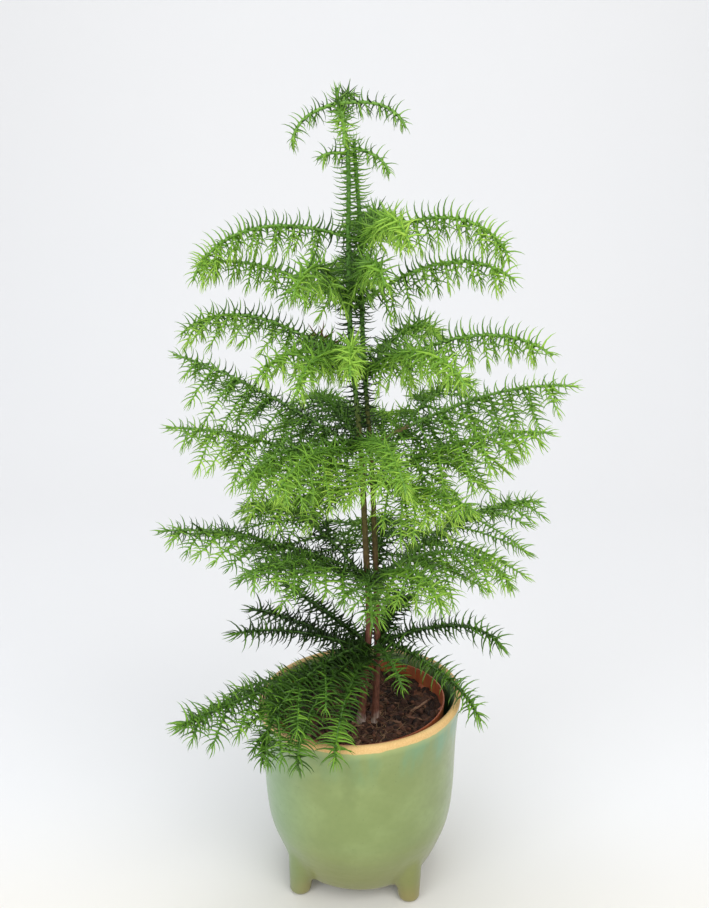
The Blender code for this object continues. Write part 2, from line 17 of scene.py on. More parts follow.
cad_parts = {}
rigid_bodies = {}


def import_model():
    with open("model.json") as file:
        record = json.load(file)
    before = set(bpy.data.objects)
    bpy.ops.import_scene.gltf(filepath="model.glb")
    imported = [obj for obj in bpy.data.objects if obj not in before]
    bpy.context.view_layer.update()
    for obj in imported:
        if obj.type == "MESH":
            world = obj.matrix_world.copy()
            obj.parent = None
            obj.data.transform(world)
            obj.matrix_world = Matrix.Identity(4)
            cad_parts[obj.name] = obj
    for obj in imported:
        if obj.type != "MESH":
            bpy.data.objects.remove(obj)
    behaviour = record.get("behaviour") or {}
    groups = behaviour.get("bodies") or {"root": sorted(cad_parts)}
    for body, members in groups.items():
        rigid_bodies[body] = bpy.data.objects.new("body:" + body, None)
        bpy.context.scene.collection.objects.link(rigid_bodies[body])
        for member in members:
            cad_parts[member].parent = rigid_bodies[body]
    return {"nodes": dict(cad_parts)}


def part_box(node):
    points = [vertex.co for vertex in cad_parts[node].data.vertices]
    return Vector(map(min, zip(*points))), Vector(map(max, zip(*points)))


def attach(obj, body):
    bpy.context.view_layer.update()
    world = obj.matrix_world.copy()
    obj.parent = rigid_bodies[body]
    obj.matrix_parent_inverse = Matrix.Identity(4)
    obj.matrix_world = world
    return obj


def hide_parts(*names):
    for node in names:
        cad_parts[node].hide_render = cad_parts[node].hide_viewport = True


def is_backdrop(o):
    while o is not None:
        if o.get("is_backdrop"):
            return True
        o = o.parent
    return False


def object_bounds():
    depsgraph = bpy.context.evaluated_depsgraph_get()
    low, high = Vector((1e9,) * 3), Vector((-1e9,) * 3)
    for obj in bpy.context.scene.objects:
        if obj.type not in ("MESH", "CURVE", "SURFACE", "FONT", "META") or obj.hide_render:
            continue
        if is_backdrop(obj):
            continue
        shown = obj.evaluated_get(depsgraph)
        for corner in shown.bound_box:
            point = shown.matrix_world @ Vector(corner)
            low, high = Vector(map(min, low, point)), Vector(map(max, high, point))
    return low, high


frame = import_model()
cad_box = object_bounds()
MM = 0.001

# The view of the photograph: a camera level with the crown's top, looking down past the pot's
# rim. Its lens gives 1100 pixels of focal length on a frame 908 pixels tall.
VIEW_FROM = (-0.0107, -0.8296, 0.6246)
VIEW_DOWN = 17.0
FOCAL_PIXELS = 1100
FRAME_HEIGHT = 908

bpy.ops.object.camera_add(location=VIEW_FROM, rotation=(math.radians(90 - VIEW_DOWN), 0, 0))
camera = bpy.context.object
camera.name = "camera"
camera.data.lens = FOCAL_PIXELS * camera.data.sensor_width / FRAME_HEIGHT
bpy.context.scene.camera = camera


# Ceramic pot. Hand-thrown earthenware, whose rounded lip leans a little to one side. It is
# glazed celadon inside and out, but for the lip, which is left bare so that it doesn't stick in
# the kiln. The four feet are pressed on under it and glazed with it.
soil_low, soil_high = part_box("soil")
AXIS = Vector(((soil_low.x + soil_high.x) / 2, (soil_low.y + soil_high.y) / 2, 0.0))
POT_SIDE = (
    (50.4, 0.0),
    (58.0, 3.4),
    (63.2, 10.5),
    (70.0, 26.0),
    (76.6, 46.0),
    (79.7, 74.0),
    (81.0, 118.0),
    (84.4, 151.0),
)
POT_LIFT = 12.0
POT_WALL = 5.2
POT_FLOOR = 8.0
POT_TOP = 165.6
LEAN = 0.052
LEAN_FROM = 105.0
POT_SIDES = 144
FOOT_ANGLES = (40.0, 129.0, 217.5, 311.0)
FOOT_OUTSIDE = 71.6
FOOT_SIDES = 48
FOOT_SOLE = ((4.6, 0.0), (6.5, 0.4), (8.0, 1.5), (8.9, 3.6))
FOOT_SIDE = ((8.9, 3.6), (9.5, 9.0), (10.6, 16.0), (12.2, 24.0), (13.8, 33.0), (15.4, 45.0))
FOOT_JOINT = (10.5, 50.0)
FOOT_JOINT_FROM_AXIS = 46.0
BARE_LIP_OUTSIDE = 6.6
BARE_LIP_INSIDE = 2.2


def only(thing):
    """Selects this object alone."""
    bpy.ops.object.select_all(action="DESELECT")
    thing.select_set(True)
    bpy.context.view_layer.objects.active = thing


def start_shaping():
    """Edit mode, with the whole mesh selected."""
    bpy.ops.object.mode_set(mode="EDIT")
    bpy.ops.mesh.select_all(action="SELECT")


def stop_shaping():
    """Out of edit mode, with every face turned outwards."""
    bpy.ops.mesh.select_all(action="SELECT")
    bpy.ops.mesh.normals_make_consistent(inside=False)
    bpy.ops.object.mode_set(mode="OBJECT")


def through(points, steps):
    """A smooth line through the points, with so many steps from each to the next."""
    points = np.array(points, float)
    line = []
    for i in range(len(points) - 1):
        before = points[max(i - 1, 0)]
        start = points[i]
        end = points[i + 1]
        after = points[min(i + 2, len(points) - 1)]
        for part in np.arange(steps) / steps:
            bend = (2 * before - 5 * start + 4 * end - after) * part**2
            twist = (3 * start - before - 3 * end + after) * part**3
            line.append(start + ((end - before) * part + bend + twist) / 2)
    line.append(points[-1])
    return [tuple(point) for point in line]


def lean_at(height):
    """How far the vessel's rings are tipped over at a height in millimetres."""
    part = min(max((height - LEAN_FROM) / (POT_TOP - LEAN_FROM), 0.0), 1.0)
    return math.atan(LEAN * part * part * (3 - 2 * part))


def in_order(thing):
    """Puts a body's corners and faces in one fixed order, so that every run gives the same."""
    corners = sorted({tuple(vertex.co) for vertex in thing.data.vertices})
    number = {corner: index for index, corner in enumerate(corners)}
    faces = []
    for face in thing.data.polygons:
        ring = [number[tuple(thing.data.vertices[index].co)] for index in face.vertices]
        first = ring.index(min(ring))
        faces.append(ring[first:] + ring[:first])
    thing.data.clear_geometry()
    thing.data.from_pydata(corners, [], sorted(faces))


def draw_up(name, rings, sides, middle):
    """A closed vessel: a disc drawn up from its underside, ring by ring, and down again inside.

    Each ring is a radius and a height in millimetres.
    """
    radius, height = rings[0]
    place = (middle.x, middle.y, height * MM)
    bpy.ops.mesh.primitive_circle_add(
        vertices=sides, radius=radius * MM, fill_type="NGON", location=place
    )
    vessel = bpy.context.object
    vessel.name = name
    start_shaping()
    bpy.ops.mesh.select_mode(type="FACE")
    for next_radius, next_height in rings[1:]:
        step = (0, 0, (next_height - height) * MM)
        bpy.ops.mesh.extrude_region_move(TRANSFORM_OT_translate={"value": step})
        centre = (middle.x, middle.y, next_height * MM)
        size = next_radius / radius
        bpy.ops.transform.resize(value=(size, size, size), center_override=centre)
        turn = lean_at(next_height) - lean_at(height)
        if abs(turn) > 0.00001:
            bpy.ops.transform.rotate(value=turn, orient_axis="Y", center_override=centre)
        radius = next_radius
        height = next_height
    stop_shaping()
    bpy.ops.object.transform_apply()
    in_order(vessel)
    bpy.ops.object.shade_smooth()
    return vessel


outside = through([(radius, POT_LIFT + height) for radius, height in POT_SIDE], 7)
lip_radius, lip_height = outside[-1]
lip = []
for degrees in range(15, 180, 15):
    turn = math.radians(degrees)
    across = math.cos(turn) * POT_WALL / 2
    rise = (POT_TOP - lip_height) * math.sin(turn)
    lip.append((lip_radius - POT_WALL / 2 + across, lip_height + rise))
inside = [(radius - POT_WALL, height) for radius, height in reversed(outside) if height > 30]
inside += [(57.0, 24.0), (54.5, 21.0), (50.0, POT_LIFT + POT_FLOOR), (20.0, POT_LIFT + POT_FLOOR)]
underside = [(20.0, POT_LIFT), (44.0, POT_LIFT)]
pot = draw_up("glazed_pot", underside + outside + lip + inside, POT_SIDES, AXIS)


def cut_or_join(thing, operation, other):
    """A Boolean between two bodies. The other one is used up."""
    only(thing)
    made = thing.modifiers.new("Body", "BOOLEAN")
    made.operation = operation
    made.solver = "EXACT"
    made.object = other
    bpy.ops.object.modifier_apply(modifier=made.name)
    bpy.data.objects.remove(other)
    in_order(thing)


# Each foot's outer side stands upright under the body's, so the foot leans in as it widens. Its
# top is cut to the middle of the wall, and then it joins the body.
foot_rings = list(FOOT_SOLE) + through(FOOT_SIDE, 4)[1:]
foot_radii = [ring[0] for ring in foot_rings]
foot_heights = [ring[1] for ring in foot_rings]
SOLE_RADIUS = FOOT_SOLE[-1][0]
middle_of_wall = [(radius - POT_WALL / 2, height) for radius, height in outside if height > 20]
for degrees in FOOT_ANGLES:
    turn = math.radians(degrees)
    outward = Vector((math.cos(turn), math.sin(turn), 0))
    place = AXIS + outward * (FOOT_OUTSIDE - SOLE_RADIUS) * MM
    foot = draw_up("foot", foot_rings, FOOT_SIDES, place)
    for vertex in foot.data.vertices:
        radius = np.interp(vertex.co.z / MM, foot_heights, foot_radii)
        vertex.co -= outward * max(radius - SOLE_RADIUS, 0.0) * MM
    hollow = [(20.0, 16.0), (50.0, 16.0)] + middle_of_wall
    cut_or_join(foot, "DIFFERENCE", draw_up("hollow", hollow, POT_SIDES // 2, AXIS))
    cut_or_join(pot, "UNION", foot)

# A thumb is run round each joint, so that the foot flows into the body.
only(pot)
bpy.ops.object.mode_set(mode="EDIT")
bpy.ops.mesh.select_mode(type="EDGE")
bpy.ops.mesh.select_all(action="DESELECT")
bpy.ops.mesh.edges_select_sharp(sharpness=math.radians(14))
bpy.ops.mesh.select_mode(type="VERT")
bpy.ops.object.mode_set(mode="OBJECT")
for face in pot.data.polygons:
    face.select = False
for edge in pot.data.edges:
    edge.select = False
for vertex in pot.data.vertices:
    place = (vertex.co - AXIS) / MM
    is_under = math.hypot(place.x, place.y) > FOOT_JOINT_FROM_AXIS
    by_foot = is_under and FOOT_JOINT[0] < place.z < FOOT_JOINT[1]
    vertex.select = vertex.select and by_foot
bpy.ops.object.mode_set(mode="EDIT")
bpy.ops.mesh.remove_doubles(threshold=0.6 * MM)
bpy.ops.mesh.select_more()
bpy.ops.mesh.select_more()
bpy.ops.mesh.vertices_smooth(factor=0.5, repeat=16)
bpy.ops.mesh.select_more()
bpy.ops.mesh.vertices_smooth(factor=0.5, repeat=4)
stop_shaping()
bpy.ops.object.shade_smooth()


def tint(code, strength=1.0):
    """A colour written as #rrggbb, in the linear values that a shader takes."""
    made = []
    for place in (1, 3, 5):
        value = int(code[place:place + 2], 16) / 255
        value = value / 12.92 if value <= 0.04045 else ((value + 0.055) / 1.055) ** 2.4
        made.append(value * strength)
    return (*made, 1.0)


def finish(name, roughness, coat=0.0):
    """A new material, its node tree and its Principled shader."""
    made = bpy.data.materials.new(name)
    made.use_nodes = True
    shader = made.node_tree.nodes["Principled BSDF"]
    shader.inputs["Roughness"].default_value = roughness
    shader.inputs["Coat Weight"].default_value = coat
    return made, made.node_tree, shader


def add_node(tree, kind, inputs=(), **settings):
    """A shader node with its settings. An input is a value, or an output to be joined to it."""
    made = tree.nodes.new("ShaderNode" + kind)
    for setting, value in settings.items():
        setattr(made, setting, value)
    for place, value in dict(inputs).items():
        if isinstance(value, bpy.types.NodeSocket):
            tree.links.new(value, made.inputs[place])
        else:
            made.inputs[place].default_value = value
    return made


def surface(tree, middle=(0, 0, 0), stretch=(1, 1, 1)):
    """Places on the piece, from a point of it, closer or further apart along each way."""
    where = add_node(tree, "TexCoord").outputs["Object"]
    shift = tuple(-place * by for place, by in zip(middle, stretch))
    mapping = add_node(tree, "Mapping", {"Vector": where, "Location": shift, "Scale": stretch})
    return mapping.outputs["Vector"]


def cloudy(tree, where, size, detail=3.0, rough=0.5):
    """Soft noise from 0 to 1, in clouds of about this size in metres."""
    inputs = {"Vector": where, "Scale": 1 / size, "Detail": detail, "Roughness": rough}
    return add_node(tree, "TexNoise", inputs).outputs["Fac"]


def math_node(tree, operation, first, second=0.0, third=0.0):
    """The result of one sum. Its three terms are values or other nodes' outputs."""
    return add_node(tree, "Math", {0: first, 1: second, 2: third}, operation=operation).outputs[0]


def times(tree, first, second):
    return math_node(tree, "MULTIPLY", first, second)


def plus(tree, first, second):
    return math_node(tree, "ADD", first, second)


def times_plus(tree, first, second, third):
    """The first times the second, plus the third."""
    return math_node(tree, "MULTIPLY_ADD", first, second, third)


def between(tree, value, start, end):
    """0 where the value is at start, 1 where it is at end, smooth between. Start may be more."""
    limits = {"Value": value, "From Min": start, "From Max": end}
    return add_node(tree, "MapRange", limits, interpolation_type="SMOOTHSTEP").outputs["Result"]


def mixed(tree, share, first, second):
    """Two colours mixed, each a #rrggbb code or another node's colour."""
    first, second = (tint(part) if isinstance(part, str) else part for part in (first, second))
    return add_node(tree, "Mix", {0: share, 6: first, 7: second}, data_type="RGBA").outputs[2]


def washed(tree, colour, share, strength, wash):
    """A colour with a wash of another over it, at this strength where the share is 1."""
    return mixed(tree, times(tree, share, strength), colour, wash)


def relief(tree, shader, height, depth):
    """Bumps of about this depth in metres, where the height value runs from 0 to 1."""
    bump = add_node(tree, "Bump", {"Height": height, "Distance": depth, "Strength": 1.0})
    tree.links.new(bump.outputs["Normal"], shader.inputs["Normal"])


glaze, tree, shader = finish("celadon_glaze", 0.28, coat=0.4)
shader.inputs["Coat Roughness"].default_value = 0.12
where = surface(tree, AXIS)
split = add_node(tree, "SeparateXYZ", {"Vector": where})
across, deep, up = split.outputs["X"], split.outputs["Y"], split.outputs["Z"]
round_out = math_node(tree, "SQRT", times_plus(tree, across, across, times(tree, deep, deep)))
below_lip = math_node(tree, "SUBTRACT", times_plus(tree, across, LEAN, POT_TOP * MM), up)
waves = cloudy(tree, where, 45 * MM, detail=2.0)
ripples = cloudy(tree, where, 7 * MM, detail=2.0)
slow_shift = times_plus(tree, waves, 6 * MM, -3 * MM)
edge_shift = plus(tree, slow_shift, times_plus(tree, ripples, 1.6 * MM, -0.8 * MM))
is_outside = between(tree, round_out, 79.6 * MM, 82.6 * MM)
bare_more = (BARE_LIP_OUTSIDE - BARE_LIP_INSIDE) * MM
bare_depth = times_plus(tree, is_outside, bare_more, BARE_LIP_INSIDE * MM)
edge = plus(tree, bare_depth, times(tree, edge_shift, is_outside))
under_edge = math_node(tree, "SUBTRACT", below_lip, edge)
glazed = between(tree, under_edge, -0.5 * MM, 0.5 * MM)
runs = cloudy(tree, surface(tree, AXIS, (1, 1, 0.28)), 22 * MM, detail=4.0)
patches = cloudy(tree, where, 38 * MM, detail=3.0)
mottle = cloudy(tree, where, 5 * MM, detail=4.0)

# The glaze is olive low down and browner at the feet, with teal runs under the lip on the right,
# and one thin drip in front. A blue-green reflection is painted on the left side, and a pale
# highlight is painted just under the bare lip.
colour = mixed(tree, between(tree, patches, 0.35, 0.7), "#7f9156", "#8a9d63")
colour = washed(tree, colour, between(tree, mottle, 0.3, 0.8), 0.35, "#778b50")
colour = washed(tree, colour, between(tree, up, 88 * MM, 14 * MM), 0.8, "#7a7b40")
colour = washed(tree, colour, between(tree, up, 24 * MM, 2 * MM), 0.45, "#9a8455")
near_lip = between(tree, under_edge, 42 * MM, 10 * MM)
to_right = times_plus(tree, between(tree, across, -60 * MM, 75 * MM), 0.7, 0.3)
teal = times(tree, times(tree, near_lip, to_right), between(tree, runs, 0.38, 0.62))
colour = washed(tree, colour, teal, 0.8, "#689a78")
# Painted reflection: a cool blue-green cast over the left side of the pot.
colour = washed(tree, colour, between(tree, across, -34 * MM, -78 * MM), 0.5, "#71a07b")
drip = plus(tree, plus(tree, across, times(tree, ripples, 9 * MM)), 4 * MM)
drip = between(tree, math_node(tree, "ABSOLUTE", drip), 9 * MM, 1 * MM)
drip = times(tree, drip, between(tree, under_edge, 4 * MM, 14 * MM))
drip = times(tree, drip, between(tree, under_edge, 62 * MM, 44 * MM))
colour = washed(tree, colour, drip, 0.5, "#6f8148")
# Painted highlight: a pale band just under the bare lip.
colour = washed(tree, colour, between(tree, under_edge, 7 * MM, 0.0), 0.55, "#a9b878")
in_shade = between(tree, round_out, 79.2 * MM, 75 * MM)
colour = washed(tree, colour, in_shade, between(tree, up, 60 * MM, 90 * MM), "#3f7f5c")
specks = add_node(tree, "TexVoronoi", {"Vector": where, "Scale": 1 / (6 * MM)}).outputs["Distance"]
colour = washed(tree, colour, math_node(tree, "LESS_THAN", specks, 0.07), 0.45, "#5c6b3d")
clay_grain = cloudy(tree, where, 1.2 * MM, detail=5.0)
clay = mixed(tree, between(tree, clay_grain, 0.3, 0.75), "#e6c287", "#dab173")
clay = washed(tree, clay, between(tree, waves, 0.4, 0.7), 0.5, "#efd6a6")
tree.links.new(mixed(tree, glazed, clay, colour), shader.inputs["Base Color"])
dull = times_plus(tree, glazed, -0.5, 0.8)
tree.links.new(times_plus(tree, mottle, 0.1, dull), shader.inputs["Roughness"])
tree.links.new(times(tree, glazed, 0.45), shader.inputs["Coat Weight"])
throwing = cloudy(tree, surface(tree, AXIS, (0.25, 0.25, 1.0)), 9 * MM, detail=2.0)
uneven = plus(tree, times(tree, throwing, 0.5), times(tree, patches, 0.7))
grain = times(tree, clay_grain, times_plus(tree, glazed, -0.06, 0.08))
relief(tree, shader, plus(tree, uneven, grain), 0.9 * MM)
pot.data.materials.append(glaze)
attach(pot, "root")
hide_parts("pot")


# Nursery pot. Thin terracotta-coloured plastic, vacuum-formed with a deep lip band. It stands on
# the floor of the ceramic pot, and only its lip shows over the soil.
NURSERY_WALL = 1.3
NURSERY_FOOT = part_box("nursery_pot")[0].z / MM
LIP_FOOT = 145.0
NURSERY_TOP = 159.0
nursery_outside = [
    (20.0, NURSERY_FOOT),
    (46.0, NURSERY_FOOT),
    (48.3, NURSERY_FOOT + 0.5),
    (49.0, NURSERY_FOOT + 2.0),
    (54.2, 50.0),
    (61.4, 100.0),
    (67.0, LIP_FOOT - 0.4),
    (67.6, LIP_FOOT),
    (69.9, LIP_FOOT + 0.5),
    (70.2, LIP_FOOT + 1.2),
    (70.6, LIP_FOOT + 7.0),
    (71.0, NURSERY_TOP - 0.5),
]
nursery_lip = [(70.8, NURSERY_TOP), (71.0 - NURSERY_WALL + 0.2, NURSERY_TOP)]
nursery_inside = [
    (71.0 - NURSERY_WALL, NURSERY_TOP - 0.5),
    (68.9, LIP_FOOT + 2.6),
    (67.0 - NURSERY_WALL, LIP_FOOT + 0.8),
    (61.4 - NURSERY_WALL, 100.0),
    (49.0 - NURSERY_WALL, NURSERY_FOOT + 3.0),
    (45.0, NURSERY_FOOT + NURSERY_WALL),
    (20.0, NURSERY_FOOT + NURSERY_WALL),
]
nursery_rings = nursery_outside + nursery_lip + nursery_inside
nursery = draw_up("terracotta_nursery_pot", nursery_rings, POT_SIDES, AXIS)
only(nursery)
bpy.ops.object.shade_smooth_by_angle(angle=math.radians(40))

plastic, tree, shader = finish("terracotta_plastic", 0.42)
where = surface(tree, AXIS)
scuffs = cloudy(tree, surface(tree, AXIS, (1, 1, 0.3)), 4 * MM, detail=6.0)
dust = cloudy(tree, where, 16 * MM, detail=5.0)
colour = mixed(tree, between(tree, scuffs, 0.4, 0.75), "#a5502f", "#b9683f")
colour = washed(tree, colour, between(tree, dust, 0.45, 0.75), 0.45, "#8a5a3e")
tree.links.new(colour, shader.inputs["Base Color"])
tree.links.new(times_plus(tree, dust, 0.4, 0.25), shader.inputs["Roughness"])
relief(tree, shader, scuffs, 0.15 * MM)
nursery.data.materials.append(plastic)
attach(nursery, "root")
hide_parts("nursery_pot")


# Soil. A dark moist peat mix with bark chips, crumbs and fibres, pressed into the nursery pot. It
# is level round the stems and higher at the wall, where it was pressed up.
SOIL_TOP = soil_high.z / MM
SOIL_LEVEL_TO = 34.0
SOIL_EDGE = 68.0
SOIL_EDGE_RISE = 7.5
SOIL_SEED = 61
SOIL_LUMPS = ((26.0, 1.6), (9.0, 2.4), (3.6, 1.3))
FOOT_OF_STEMS = ((1.0, -9.0), (12.8, -9.0))
MOUND_HEIGHT = 1.4
MOUND_WIDTH = 7.0


def soil_height(x, y):
    """The height of the soil's surface in millimetres, at a place from the pot's axis."""
    radius = math.hypot(x, y)
    edge = min(max((radius - SOIL_LEVEL_TO) / (SOIL_EDGE - SOIL_LEVEL_TO), 0.0), 1.0)
    height = SOIL_TOP + SOIL_EDGE_RISE * edge * edge - 0.4
    for number, (size, depth) in enumerate(SOIL_LUMPS):
        height += depth * noise.noise(Vector((x / size, y / size, 7.3 * number)))
    for stem_x, stem_y in FOOT_OF_STEMS:
        away = math.hypot(x - stem_x, y - stem_y) / MOUND_WIDTH
        height += MOUND_HEIGHT * math.exp(-(away**2))
    return height


# It is drawn up against the wall and in over the top, which then takes its own height.
soil_rings = [(20.0, soil_low.z / MM), (45.0, soil_low.z / MM), (47.2, 24.0), (64.2, 138.0)]
soil_rings += [(65.2, 144.5), (68.6, 147.0)]
soil_rings += [(SOIL_EDGE + 0.4 - 1.4 * step, SOIL_TOP + 8) for step in range(48)]
soil = draw_up("peat", soil_rings, 128, AXIS)
for vertex in soil.data.vertices:
    if vertex.co.z > (SOIL_TOP + 6) * MM:
        x = (vertex.co.x - AXIS.x) / MM
        y = (vertex.co.y - AXIS.y) / MM
        vertex.co.z = soil_height(x, y) * MM

peat, tree, shader = finish("peat", 0.92)
where = surface(tree)
crumble = cloudy(tree, where, 2.2 * MM, detail=8.0, rough=0.65)
damp = cloudy(tree, where, 19 * MM, detail=3.0)
colour = mixed(tree, between(tree, crumble, 0.35, 0.7), "#22130e", "#503325")
colour = washed(tree, colour, between(tree, damp, 0.4, 0.7), 0.55, "#1f120d")
tree.links.new(colour, shader.inputs["Base Color"])
relief(tree, shader, crumble, 1.2 * MM)
soil.data.materials.append(peat)
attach(soil, "root")
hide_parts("soil")


def shape_of(thing):
    """The corners and triangles of a small finished object, which is then removed."""
    in_order(thing)
    only(thing)
    start_shaping()
    bpy.ops.mesh.quads_convert_to_tris()
    stop_shaping()
    corners = np.array([vertex.co for vertex in thing.data.vertices])
    faces = np.array([face.vertices for face in thing.data.polygons])
    bpy.data.objects.remove(thing)
    return corners, faces


def joined(name, shape, turns, places):
    """One mesh of many copies of a shape, each with its own turn and size, and its own place."""
    corners, faces = shape
    points = np.einsum("nij,vj->nvi", turns, corners) + places[:, None, :]
    triangles = faces[None] + np.arange(len(places))[:, None, None] * len(corners)
    mesh = bpy.data.meshes.new(name)
    mesh.vertices.add(points.shape[0] * points.shape[1])
    mesh.vertices.foreach_set("co", points.astype(np.float32).ravel())
    mesh.loops.add(triangles.size)
    mesh.loops.foreach_set("vertex_index", triangles.astype(np.int32).ravel())
    mesh.polygons.add(triangles.size // 3)
    mesh.polygons.foreach_set("loop_start", np.arange(0, triangles.size, 3, dtype=np.int32))
    mesh.update(calc_edges=True)
    made = bpy.data.objects.new(name, mesh)
    bpy.context.scene.collection.objects.link(made)
    return made


def crumb_shape():
    """An angular crumb about 2 across, from a ball of twenty faces."""
    bpy.ops.mesh.primitive_ico_sphere_add(subdivisions=1, radius=1.0)
    crumb = bpy.context.object
    for vertex in crumb.data.vertices:
        vertex.co *= 1.0 + 0.35 * noise.noise(vertex.co * 1.7)
    return shape_of(crumb)


def chip_shape(seed):
    """A torn chip of bark, 2 long, thin at one end, from a block cut once each way."""
    bpy.ops.mesh.primitive_cube_add(size=1.0)
    chip = bpy.context.object
    start_shaping()
    bpy.ops.transform.resize(value=(2.0, 0.72, 0.34))
    bpy.ops.mesh.subdivide(number_cuts=1)
    bpy.ops.object.mode_set(mode="OBJECT")
    for vertex in chip.data.vertices:
        along = vertex.co.x
        torn = noise.noise_vector(vertex.co * 2.3 + Vector((seed, 0, 0)))
        vertex.co.y *= 1.0 - 0.35 * along
        vertex.co.z *= 1.0 - 0.3 * along
        vertex.co += Vector((0.34 * torn.x, 0.16 * torn.y, 0.12 * torn.z))
    return shape_of(chip)


def fibre_shape():
    """A fine bent fibre, 2 long, three-sided."""
    end = (-1, 0, 0)
    bpy.ops.mesh.primitive_circle_add(vertices=3, radius=0.03, fill_type="NGON", location=end)
    fibre = bpy.context.object
    start_shaping()
    bpy.ops.transform.rotate(value=math.radians(90), orient_axis="Y", center_override=end)
    for sway in (0.16, 0.08, -0.12, -0.2):
        bpy.ops.mesh.extrude_region_move(TRANSFORM_OT_translate={"value": (0.5, sway, 0.05)})
        bpy.ops.transform.resize(value=(0.9, 0.9, 0.9))
    bpy.ops.object.mode_set(mode="OBJECT")
    bpy.ops.object.transform_apply()
    return shape_of(fibre)


def strewn(count, sizes, tilt, sink, chance, reach=SOIL_EDGE - 3.0):
    """Turns and places for loose bits on the soil. Each size is a range in millimetres."""
    turns = np.zeros((count, 3, 3))
    places = np.zeros((count, 3))
    for i in range(count):
        radius = reach * math.sqrt(chance.random())
        angle = chance.uniform(0, 2 * math.pi)
        x = radius * math.cos(angle)
        y = radius * math.sin(angle)
        turn = Matrix.Rotation(chance.uniform(0, 2 * math.pi), 3, "Z")
        turn = turn @ Matrix.Rotation(math.radians(chance.gauss(0, tilt)), 3, "Y")
        turn = turn @ Matrix.Rotation(math.radians(chance.gauss(0, tilt)), 3, "X")
        size = [chance.uniform(low, high) * MM / 2 for low, high in sizes]
        turns[i] = np.array(turn) * np.array(size)
        height = soil_height(x, y) - sink * size[2] / MM
        places[i] = (AXIS.x + x * MM, AXIS.y + y * MM, height * MM)
    return turns, places


def loose_bits(name, colours, shape, turns, places, roughness=0.85):
    """Loose bits of one kind, in a mottled finish between two colours."""
    bits = joined(name, shape, turns, places)
    material, bit_tree, bit_shader = finish(name, roughness)
    spots = {"Vector": surface(bit_tree), "Scale": 1 / (7 * MM)}
    tone = add_node(bit_tree, "TexVoronoi", spots).outputs["Color"]
    grain_of = cloudy(bit_tree, surface(bit_tree, stretch=(1, 1, 2)), 1.1 * MM, detail=5.0)
    bit_colour = mixed(bit_tree, between(bit_tree, tone, 0.2, 0.8), *colours)
    bit_colour = washed(bit_tree, bit_colour, grain_of, 0.5, colours[0])
    bit_tree.links.new(bit_colour, bit_shader.inputs["Base Color"])
    relief(bit_tree, bit_shader, grain_of, 0.35 * MM)
    bits.data.materials.append(material)
    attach(bits, "root")


chance = random.Random(SOIL_SEED)
noise.seed_set(SOIL_SEED)
crumbs = strewn(1500, ((0.9, 4.4), (0.9, 4.0), (0.7, 3.0)), 60, 0.1, chance)
loose_bits("peat_crumbs", ("#23130d", "#644231"), crumb_shape(), *crumbs)
lumps = strewn(260, ((5.0, 11.0), (5.0, 10.0), (4.0, 9.0)), 40, 0.1, chance)
loose_bits("peat_lumps", ("#20110c", "#5c3b2c"), crumb_shape(), *lumps)
chips = strewn(190, ((5.0, 15.0), (6.0, 13.0), (6.0, 13.0)), 22, -0.1, chance)
loose_bits("bark_chips", ("#3d231a", "#80563f"), chip_shape(1.0), *chips)
pale_chips = strewn(34, ((9.0, 24.0), (4.0, 9.0), (4.0, 8.0)), 16, -0.2, chance)
loose_bits("pale_bark_chips", ("#6c4937", "#a8836a"), chip_shape(5.0), *pale_chips)
fibres = strewn(260, ((9.0, 30.0), (9.0, 26.0), (9.0, 16.0)), 9, -0.12, chance, SOIL_EDGE - 12)
loose_bits("peat_fibres", ("#5d4130", "#a98a66"), fibre_shape(), *fibres)
grit = strewn(34, ((0.8, 1.9), (0.8, 1.7), (0.8, 1.5)), 60, -0.5, chance)
loose_bits("pale_grit", ("#b7aa99", "#ddd6ca"), crumb_shape(), *grit, roughness=0.7)


# Stems. Two slim stems from one root ball, each with its own lean and wander. The bark is grey
# and flaky at the soil, red-brown above it, then olive, and the youngest top is green.
Stem = namedtuple("Stem", "path foot_radius tip_radius")
STEMS = {
    "left": Stem(
        path=(
            (143, 1.0, -9.0), (190, 4.8, -8.5), (233, 7.5, -8.0), (301, 4.5, -6.5),
            (373, 1.0, -5.0), (421, -3.2, -4.0), (462, -7.2, -3.0), (539, -8.8, -2.0),
            (585, -8.6, -1.0), (610, -10.2, -0.5), (635, -16.0, 0.0), (645, -17.0, 0.0),
        ),
        foot_radius=3.1 * MM,
        tip_radius=0.9 * MM,
    ),
    "right": Stem(
        path=(
            (143, 12.8, -9.0), (190, 14.0, -6.0), (233, 14.1, -3.0), (301, 11.9, 0.0),
            (373, 8.6, 3.0), (413, 5.2, 4.0), (462, 2.0, 5.0), (551, -0.4, 5.0),
            (580, -2.6, 5.0), (602, -4.2, 5.0), (610, -4.6, 5.0),
        ),
        foot_radius=2.9 * MM,
        tip_radius=0.9 * MM,
    ),
}
STEM_FLARE = 1.3 * MM
STEM_FLARE_HEIGHT = 9.0 * MM
STEM_STEP = 1.1 * MM
STEM_SUNK = 2.0 * MM
GREEN_FROM = 428 * MM
GREEN_SWELL = 0.35 * MM
GREEN_CHANGE = 30 * MM


